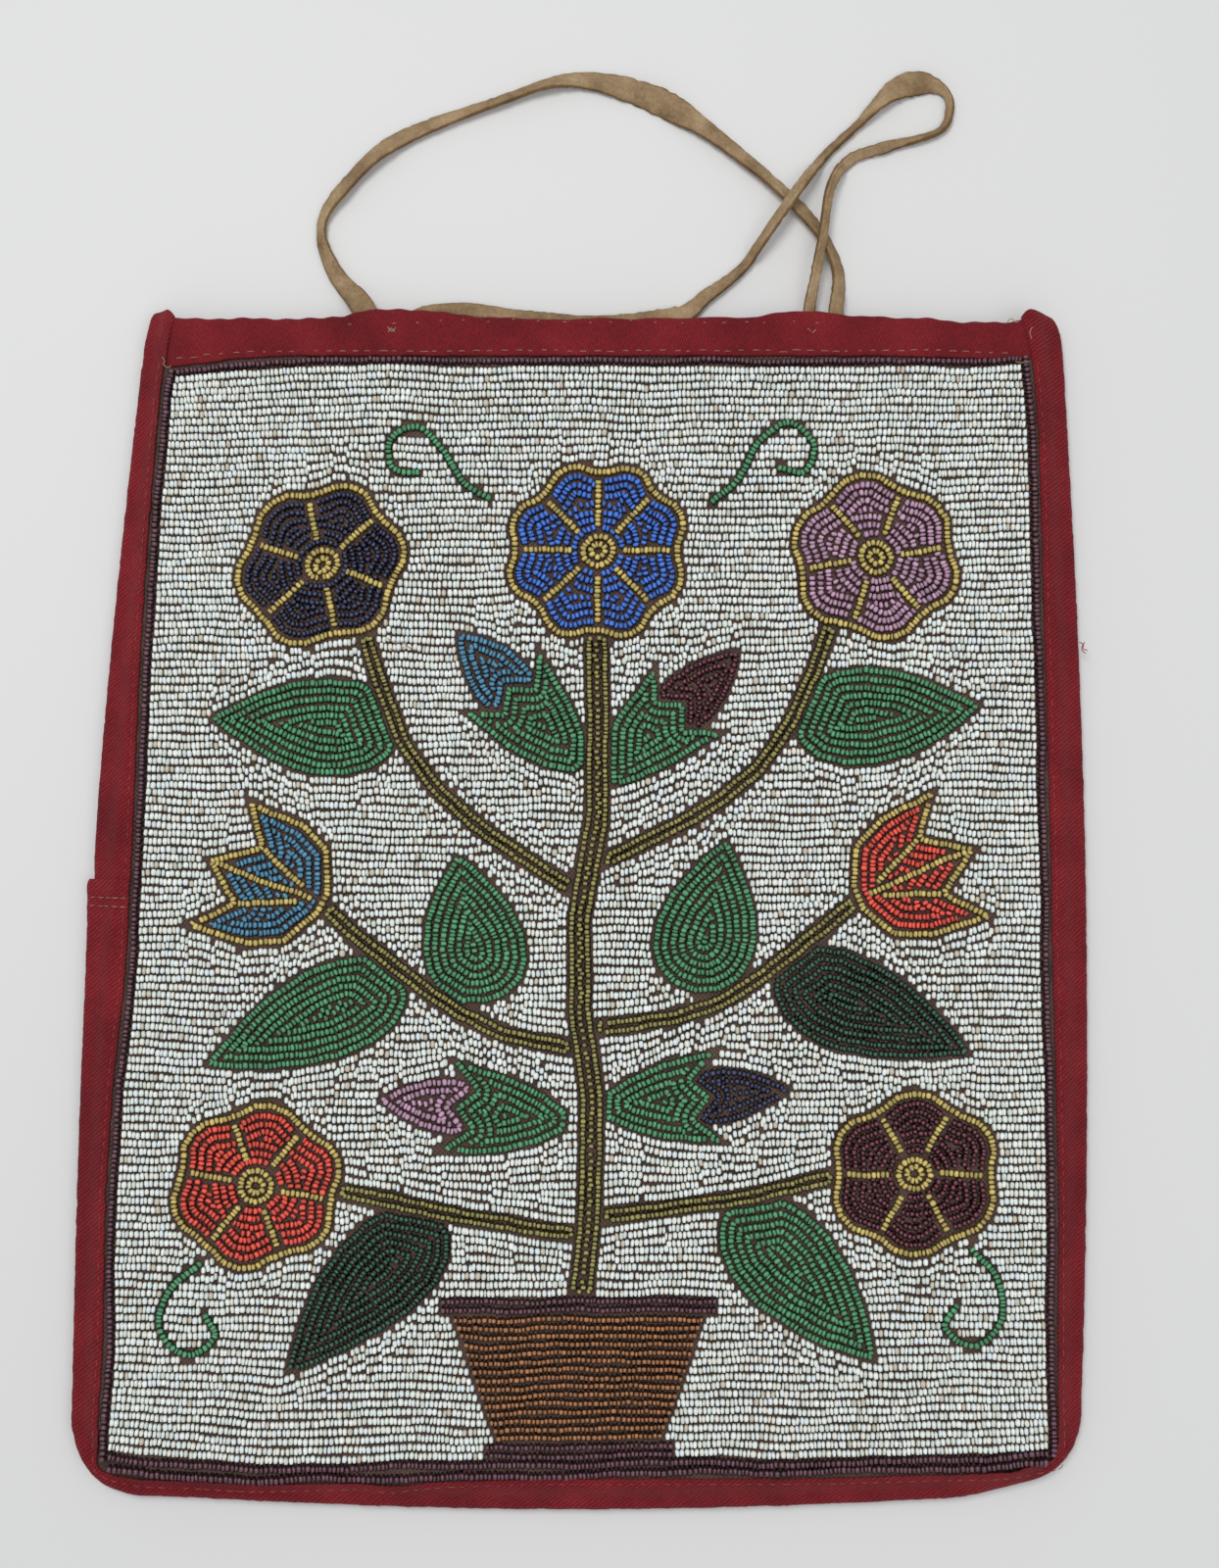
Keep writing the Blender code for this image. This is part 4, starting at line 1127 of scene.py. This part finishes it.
def make_top_binding():
    """The wool over the mouth's front edge. Its ends go under the side bindings and down their slope."""
    left, right = side_x(-1, 0.150) + 0.0049, side_x(1, 0.150) - 0.0052
    sections = []
    for x in np.arange(left, right, SECTION_STEP):
        from_side = min(x - side_x(-1, 0.150), side_x(1, 0.150) - x)
        covered = min(x - left_in(0.150), right_in(0.150) - x)
        low = front_height(from_side) - FLAT_TOP_Z - 0.0008 * np.clip(0.5 - covered / 0.0014, 0, 1)
        dip = 0.0029 * hump(x, 0.018, -0.1145) + 0.0009 * hump(x, 0.02, 0.111)
        lower_y = TOP_EDGE_Y + 0.00012 * pucker(x * 3, 0.1) - dip
        fold = read(MOUTH, x) + 0.00025 * pucker(x * 2, 0.3)
        outer = [(lower_y, FLAT_TOP_Z - 0.0008), (lower_y + 0.00015, FLAT_TOP_Z - 0.0002)]
        outer += [(lower_y + 0.0006, FLAT_TOP_Z)]
        outer += [(y, FLAT_TOP_Z) for y in np.linspace(lower_y + 0.0011, fold - 0.0010, 14)]
        outer += [(fold - 0.0004, FLAT_TOP_Z - 0.0002), (fold, FLAT_TOP_Z - 0.0008), (fold + 0.00015, 0.0074)]
        outer += [(fold, 0.0066), (fold - 0.0004, 0.0060), (fold - 0.0010, 0.0059), (TOP_EDGE_Y, 0.0059)]
        inner = [(TOP_EDGE_Y, 0.0068), (fold - 0.0012, 0.0068), (fold - 0.0009, 0.0074)]
        inner += [(fold - 0.0012, FLAT_TOP_Z - WOOL), (lower_y + 0.0006, FLAT_TOP_Z - WOOL)]
        y, z = np.array(outer + inner).T
        upper = np.clip((z - 0.0072) / 0.001, 0, 1)
        soft = 0.00018 * pucker(np.full_like(y, x), y * 1.5) + 0.00008 * crumple(np.full_like(y, x), y)
        seam = hump(y, 0.0007, lower_y + 0.0015) * hump(x % TOP_STITCH, 0.0009, TOP_STITCH / 2)
        z = z + upper * (soft - 0.00025 * seam)
        z = np.where(z > 0.0062, np.maximum(z + low, 0.0060), z)
        sections.append(np.column_stack([np.full_like(y, x), y, z]))
    made = strip("top_binding_wool", sections, wool)
    piece(made, "wool", "top_binding")


def make_side_bindings():
    """The three strips down the sides and round the base. The lower one laps the left one."""
    whole = float(EDGE_RUN[-1])
    corner = float(EDGE_RUN[RIGHT_START])
    for name, node, first, last, start_out, end_in in (
        ("left_upper_wool", "left_upper_binding", 0.0, SEAM_DROP - 0.0002, 0.0, 0.0006),
        ("lower_wool", "lower_binding", SEAM_DROP - 0.0009, corner + 0.0008, 0.0014, 0.0),
        ("right_wool", "right_binding", corner - 0.0004, whole, 0.0, 0.0),
    ):
        made = bind(name, first, last, start_out, end_in)
        piece(made, "wool", node)


# The hide handles: flat strips, folded lengthwise, that twist as they lie

suede = hide_material("suede", (0.165, 0.106, 0.055), (0.315, 0.215, 0.120), (0.45, 0.325, 0.195))

HANDLE_REST, FRONT_HANDLE_Z, BACK_HANDLE_Z, OVER_Z = 0.0017, 0.0040, 0.0031, 0.0055
# Each handle's points: x, y above the mouth, height, and in mm the width that shows. Then its turn in degrees,
# by share of its length
FRONT_ROUTE = [
    (-0.0620, -0.014, FRONT_HANDLE_Z, 6.8),
    (-0.0644, 0.0010, FRONT_HANDLE_Z, 7.0),
    (-0.0735, 0.0137, HANDLE_REST, 4.8),
    (-0.0768, 0.0255, HANDLE_REST, 3.5),
    (-0.0709, 0.0360, HANDLE_REST, 5.2),
    (-0.0566, 0.0492, HANDLE_REST, 5.4),
    (-0.0306, 0.0597, HANDLE_REST, 4.1),
    (-0.0072, 0.0663, HANDLE_REST, 5.4),
    (0.0163, 0.0597, HANDLE_REST, 7.3),
    (0.0371, 0.0452, HANDLE_REST, 4.8),
    (0.0553, 0.0281, HANDLE_REST, 5.0),
    (0.0632, 0.0137, HANDLE_REST, 4.3),
    (0.0625, 0.0010, FRONT_HANDLE_Z, 4.5),
    (0.0620, -0.014, FRONT_HANDLE_Z, 4.6),
]
FRONT_TURNS = [
    (0.0, 0), (0.09, 8), (0.16, 28), (0.24, 48), (0.31, 22), (0.40, 38), (0.47, 55), (0.53, 10), (0.60, -22),
    (0.66, 20), (0.76, 42), (0.86, 48), (0.94, 15), (1.0, 0),
]
BACK_ROUTE = [
    (-0.0560, -0.014, BACK_HANDLE_Z, 4.4),
    (-0.0545, -0.0040, BACK_HANDLE_Z, 4.4),
    (-0.0488, 0.0010, BACK_HANDLE_Z, 4.4),
    (-0.0371, 0.0018, BACK_HANDLE_Z, 4.4),
    (-0.0254, 0.0005, BACK_HANDLE_Z, 4.4),
    (-0.0046, -0.0016, BACK_HANDLE_Z, 4.4),
    (0.0189, 0.0005, BACK_HANDLE_Z, 5.4),
    (0.0280, 0.0066, HANDLE_REST, 4.4),
    (0.0371, 0.0137, HANDLE_REST, 3.7),
    (0.0450, 0.0240, OVER_Z, 3.7),
    (0.0530, 0.0355, OVER_Z, 4.2),
    (0.0600, 0.0452, HANDLE_REST, 3.2),
    (0.0683, 0.0531, HANDLE_REST, 3.0),
    (0.0787, 0.0631, HANDLE_REST, 6.4),
    (0.0860, 0.0655, HANDLE_REST, 6.6),
    (0.0925, 0.0635, HANDLE_REST, 3.4),
    (0.0943, 0.0585, HANDLE_REST, 2.6),
    (0.0911, 0.0520, HANDLE_REST, 2.8),
    (0.0770, 0.0478, HANDLE_REST, 3.5),
    (0.0668, 0.0440, HANDLE_REST, 3.5),
    (0.0612, 0.0350, OVER_Z, 3.4),
    (0.0590, 0.0215, OVER_Z, 3.4),
    (0.0570, 0.0110, OVER_Z, 3.4),
    (0.0553, 0.0010, BACK_HANDLE_Z, 3.6),
    (0.0550, -0.014, BACK_HANDLE_Z, 3.6),
]
BACK_TURNS = [
    (0.0, 0), (0.28, 8), (0.36, 30), (0.45, 48), (0.53, 35), (0.58, 50), (0.625, -5), (0.66, -45), (0.71, -55),
    (0.78, 30), (0.86, 45), (0.93, 20), (1.0, 0),
]
HIDE_THICK, HIDE_SIDES = 0.0019, 24


def make_handle(name, node, route, turns):
    """A creased strip of hide along a route, turned about it."""
    points = np.array([(x + TOP_SHIFT / 2, TOP_Y + y, z, shown / 1000) for x, y, z, shown in route])
    line = even_line(smooth_line(points, 400), 0.0013)
    line, shown = line[:, :3], line[:, 3]
    line[:, 2] = np.maximum(line[:, 2], 0.00125)
    run = along(line)
    share = run / run[-1]
    wave = Ripple(31 if "front" in name else 32, 0.012, 0.04)
    fine = Ripple(35, 0.0016, 0.005)
    turn = np.radians(np.interp(share, *zip(*turns)) + 8 * wave(run, 0.1 + 0 * run))
    turn = np.convolve(np.pad(turn, 4, mode="edge"), np.ones(9) / 9, mode="valid")
    width = np.clip((shown - HIDE_THICK * np.abs(np.sin(turn))) / np.cos(turn), 0.0024, 0.0078)
    width *= 1 + 0.05 * wave(run, 0 * run) + 0.035 * fine(run, 0.3 + 0 * run)
    tangent = unit(np.gradient(line, axis=0))
    side = unit(np.cross(tangent, (0, 0, 1.0)))
    up = np.cross(side, tangent)
    sections, shaded_rim = [], []
    for i in range(len(line)):
        across = side[i] * cos(turn[i]) + up[i] * sin(turn[i])
        out = -side[i] * sin(turn[i]) + up[i] * cos(turn[i])
        half = width[i] / 2
        lowest = np.hypot(half * sin(turn[i]), HIDE_THICK / 2 * cos(turn[i]))
        centre = line[i].copy()
        if centre[2] < 0.0030:
            centre[2] = max(lowest + 0.0001, min(centre[2], 0.0012))
        ring = []
        for k in range(HIDE_SIDES):
            angle = tau * k / HIDE_SIDES
            u = np.sign(cos(angle)) * abs(cos(angle)) ** 0.8
            v = np.sign(sin(angle)) * abs(sin(angle)) ** 0.7
            first, second = 0.30 + 0.20 * wave(run[i], 0.5), -0.35 + 0.2 * wave(run[i], 0.9)
            crease = 0.42 * hump(u, 0.13, first) + 0.30 * hump(u, 0.12, second)
            thick = HIDE_THICK / 2 * (1 - crease) * (1 + 0.14 * fine(run[i], u * 0.002))
            nick = 0.00012 * fine(run[i] * 1.7, 0.7 + u)
            ring.append(centre + across * u * (half + nick) + out * v * thick)
            # How near the strip's edge each point lies, for the painted shade there
            shaded_rim.append(abs(u) ** 5)
        ring = np.array(ring)
        ring[:, 2] = np.maximum(ring[:, 2], 0.00004)
        sections.append(ring)
    made = strip(name, sections, suede)
    made.data.attributes.new("shaded_rim", "FLOAT", "POINT").data.foreach_set("value", np.array(shaded_rim, np.float32))
    piece(made, "hide", node)


# The hide back and the ground cloth under the beads


def fitted_sheet(name, node, material, slot, sway):
    """A sheet in a CAD panel's place: a copy of its faces, cut finer and drawn back from the wool's ends."""
    made = bmesh.new()
    made.from_mesh(NODES[node].data)
    bmesh.ops.remove_doubles(made, verts=made.verts, dist=0.00001)
    long_edges = [edge for edge in made.edges if edge.calc_length() > 0.012]
    bmesh.ops.subdivide_edges(made, edges=long_edges, cuts=2, use_grid_fill=True)
    bmesh.ops.triangulate(made, faces=made.faces)
    for vertex in made.verts:
        x, y, z = vertex.co
        vertex.co.y -= 0.0036 * min(max((y - TOP_Y + 0.006) / 0.006, 0), 1)
        vertex.co.y += 0.0027 * hump(x, 0.011, 0.112) * min(max((-0.146 - y) / 0.008, 0), 1)
        if z > 0.0001:
            vertex.co.z = z + sway * float(swell(x, y))
    mesh = bpy.data.meshes.new(name)
    made.to_mesh(mesh)
    made.free()
    mesh.materials.append(material)
    obj = show(name, mesh)
    piece(obj, slot, node)


# Stitches and loose threads


def tube_mesh(name, lines, radius, material, sides=6):
    """One mesh of thin closed tubes along lines."""
    corners, faces = [], []
    for line in lines:
        line = np.array(line)
        tangent = np.gradient(line, axis=0)
        tangent /= np.linalg.norm(tangent, axis=1)[:, None] + 1e-12
        side = np.cross(tangent, (0.0, 0.0, 1.0))
        length = np.linalg.norm(side, axis=1)[:, None]
        side = np.where(length > 0.05, side / np.maximum(length, 1e-9), np.array((1.0, 0, 0)))
        up = np.cross(side, tangent)
        base = len(corners)
        for i in range(len(line)):
            taper = 0.55 if i in (0, len(line) - 1) else 1.0
            for k in range(sides):
                angle = tau * k / sides
                corners.append(line[i] + radius * taper * (side[i] * cos(angle) + up[i] * sin(angle)))
        for i in range(len(line) - 1):
            for k in range(sides):
                j = (k + 1) % sides
                a = base + i * sides
                faces.append((a + k, a + j, a + sides + j, a + sides + k))
        faces.append(tuple(base + k for k in reversed(range(sides))))
        faces.append(tuple(base + (len(line) - 1) * sides + k for k in range(sides)))
    made = new_mesh(name, corners, faces, material)
    fix_normals(made)
    return made


def seen(px, py, z):
    """The point at a height that the camera sees at a pixel of the whole image."""
    focal = LENS / SENSOR * IMAGE_TALL
    right, up = (px - IMAGE_WIDE / 2) / focal, (IMAGE_TALL / 2 - py) / focal
    ray = Vector((right, cos(ELEVATION) + up * sin(ELEVATION), up * cos(ELEVATION) - sin(ELEVATION)))
    return np.array(camera.location + ray * ((z - camera.location.z) / ray.z))


THREAD_RISE = (-0.0004, 0.00006, 0.00006, -0.0004)


def stitch_row(line, first, last, size, step, drift=0.0):
    """Short threads along a line of the wool, which dip into it at both ends."""
    run = along(line)
    made, start = [], first
    while start < last:
        long = size * (1 + 0.22 * random.standard_normal())
        places = start + long * np.array([0, 0.3, 0.7, 1])
        spots = points_at(places, run, line)
        spots[:, 1] += drift * random.standard_normal()
        made.append(np.column_stack([spots, FLAT_TOP_Z + np.array(THREAD_RISE)]))
        start += step * (1 + 0.10 * random.standard_normal())
    return made


def make_stitches():
    """Tan stitches along the top, red ones inside the sides and base, and two rows across the seam."""
    tan = thread_material("tan_thread", (0.36, 0.17, 0.11))
    red = thread_material("red_thread", (0.33, 0.055, 0.045))
    side = inset(-0.0013)
    run = along(side)
    level = [(left_in(0.148) + 0.0008, -0.0010), (-0.098, 0.0007), (-0.084, 0.0013), (0.09, 0.0014)]
    level = np.array(level + [(right_in(0.148) - 0.0008, 0.0006)]) + (0, TOP_EDGE_Y)
    mouth = np.array([(-0.066, TOP_Y - 0.0032), (-0.040, TOP_Y - 0.0026), (0.062, TOP_Y - 0.0030)])
    brown = stitch_row(level, 0.001, along(level)[-1] - 0.003, 0.0023, 0.0036, 0.00015)
    brown += stitch_row(mouth, 0.001, along(mouth)[-1], 0.0012, 0.0061, 0.0003)
    piece(tube_mesh("stitches", brown, 0.00014, tan), "wool")
    fine = stitch_row(side, 0.014, run[-1] - 0.014, 0.0019, SIDE_STITCH)
    seam = []
    for into in SEAM_LINES:
        start = np.searchsorted(EDGE_RUN, SEAM_DROP + into)
        across = EDGE[start] + INWARD[start] * np.array([[0.0006], [WIDTHS[start] - 0.0004]])
        for thread in stitch_row(across, 0.0, WIDTHS[start] - 0.0022, 0.0015, 0.0021):
            lift = front_height(thread[:, 0] - side_x(-1, 0)) + 0.0012
            seam.append(np.column_stack([thread[:, :2], lift + thread[:, 2] - FLAT_TOP_Z]))
    piece(tube_mesh("side_stitches", fine, 0.00012, red), "wool")
    piece(tube_mesh("seam_stitches", seam, 0.00015, tan), "wool")


# Threads that have come loose, as pixels of the image
LOOSE_THREADS = [
    [(165, 364), (168, 368), (167, 372), (171, 375), (175, 373)],
    [(395, 333), (400, 338), (404, 334)],
    [(396, 339), (399, 335), (403, 339)],
    [(824, 335), (829, 339), (833, 336)],
    [(1052, 325), (1054, 332), (1051, 339), (1053, 346)],
    [(1027, 330), (1032, 325), (1037, 329), (1041, 326)],
    [(1036, 369), (1043, 370), (1051, 369)],
]
BEAD_THREADS = [
    [(395, 651), (403, 656), (411, 655), (418, 661), (425, 664)],
    [(398, 662), (406, 664), (412, 660)],
]
FLUFF = [[(1101, 655), (1106, 658), (1104, 663), (1108, 667)], [(1107, 655), (1104, 661), (1110, 664)]]


def make_loose_threads():
    """Thread ends and fluff, laid on what the camera sees at their pixels."""
    tan = thread_material("loose_thread", (0.40, 0.24, 0.15))
    red = thread_material("red_fluff", (0.36, 0.04, 0.045))
    for name, lines, height, material in (
        ("loose_threads", LOOSE_THREADS, FLAT_TOP_Z + 0.00015, tan),
        ("bead_threads", BEAD_THREADS, 0.0100, tan),
        ("red_fluff", FLUFF, 0.0052, red),
    ):
        routes = [smooth_line([seen(px, py, height) for px, py in line], 12) for line in lines]
        piece(tube_mesh(name, routes, 0.00013, material), "wool")


def make_stage():
    """The pale floor, the sky's light and two lamps."""
    pale = shader_material("floor", 0.55, [("Base Color", (0.665, 0.655, 0.645, 1))])[0]
    floor = new_mesh("floor", [(-3, -3, 0), (3, -3, 0), (3, 3, 0), (-3, 3, 0)], [(0, 1, 2, 3)], pale, False)
    floor.location.z = -0.0001
    world = bpy.data.worlds.new("world")
    world.use_nodes = True
    sky = world.node_tree.nodes["Background"].inputs
    sky["Color"].default_value = (0.93, 0.97, 1.0, 1)
    sky["Strength"].default_value = 0.55
    bpy.context.scene.world = world
    for name, place, size, power in (
        ("window", (-0.30, 0.45, 1.45), 0.60, 11.0),
        ("fill", (0.6, -0.3, 1.4), 0.9, 4.0),
    ):
        light = bpy.data.lights.new(name, "AREA")
        light.size = size
        light.energy = power
        lamp = show(name, light)
        lamp.location = place
        lamp.rotation_euler = (Vector((0, 0.02, 0)) - Vector(place)).to_track_quat("-Z", "Y").to_euler()
    bpy.context.scene.view_settings.view_transform = "Standard"


make_handle("front_handle_hide", "front_handle", FRONT_ROUTE, FRONT_TURNS)
make_handle("back_handle_hide", "back_handle", BACK_ROUTE, BACK_TURNS)
make_side_bindings()
make_top_binding()
back_hide = hide_material("back_hide", (0.20, 0.135, 0.072), (0.31, 0.215, 0.12), (0.40, 0.29, 0.17))
fitted_sheet("hide_back", "back_panel", back_hide, "back_hide", 0.0)
fitted_sheet("ground", "front_panel", cloth_material(), "ground_cloth", 0.00003)
make_white()
make_borders()
make_motifs()
make_stitches()
make_loose_threads()
make_stage()
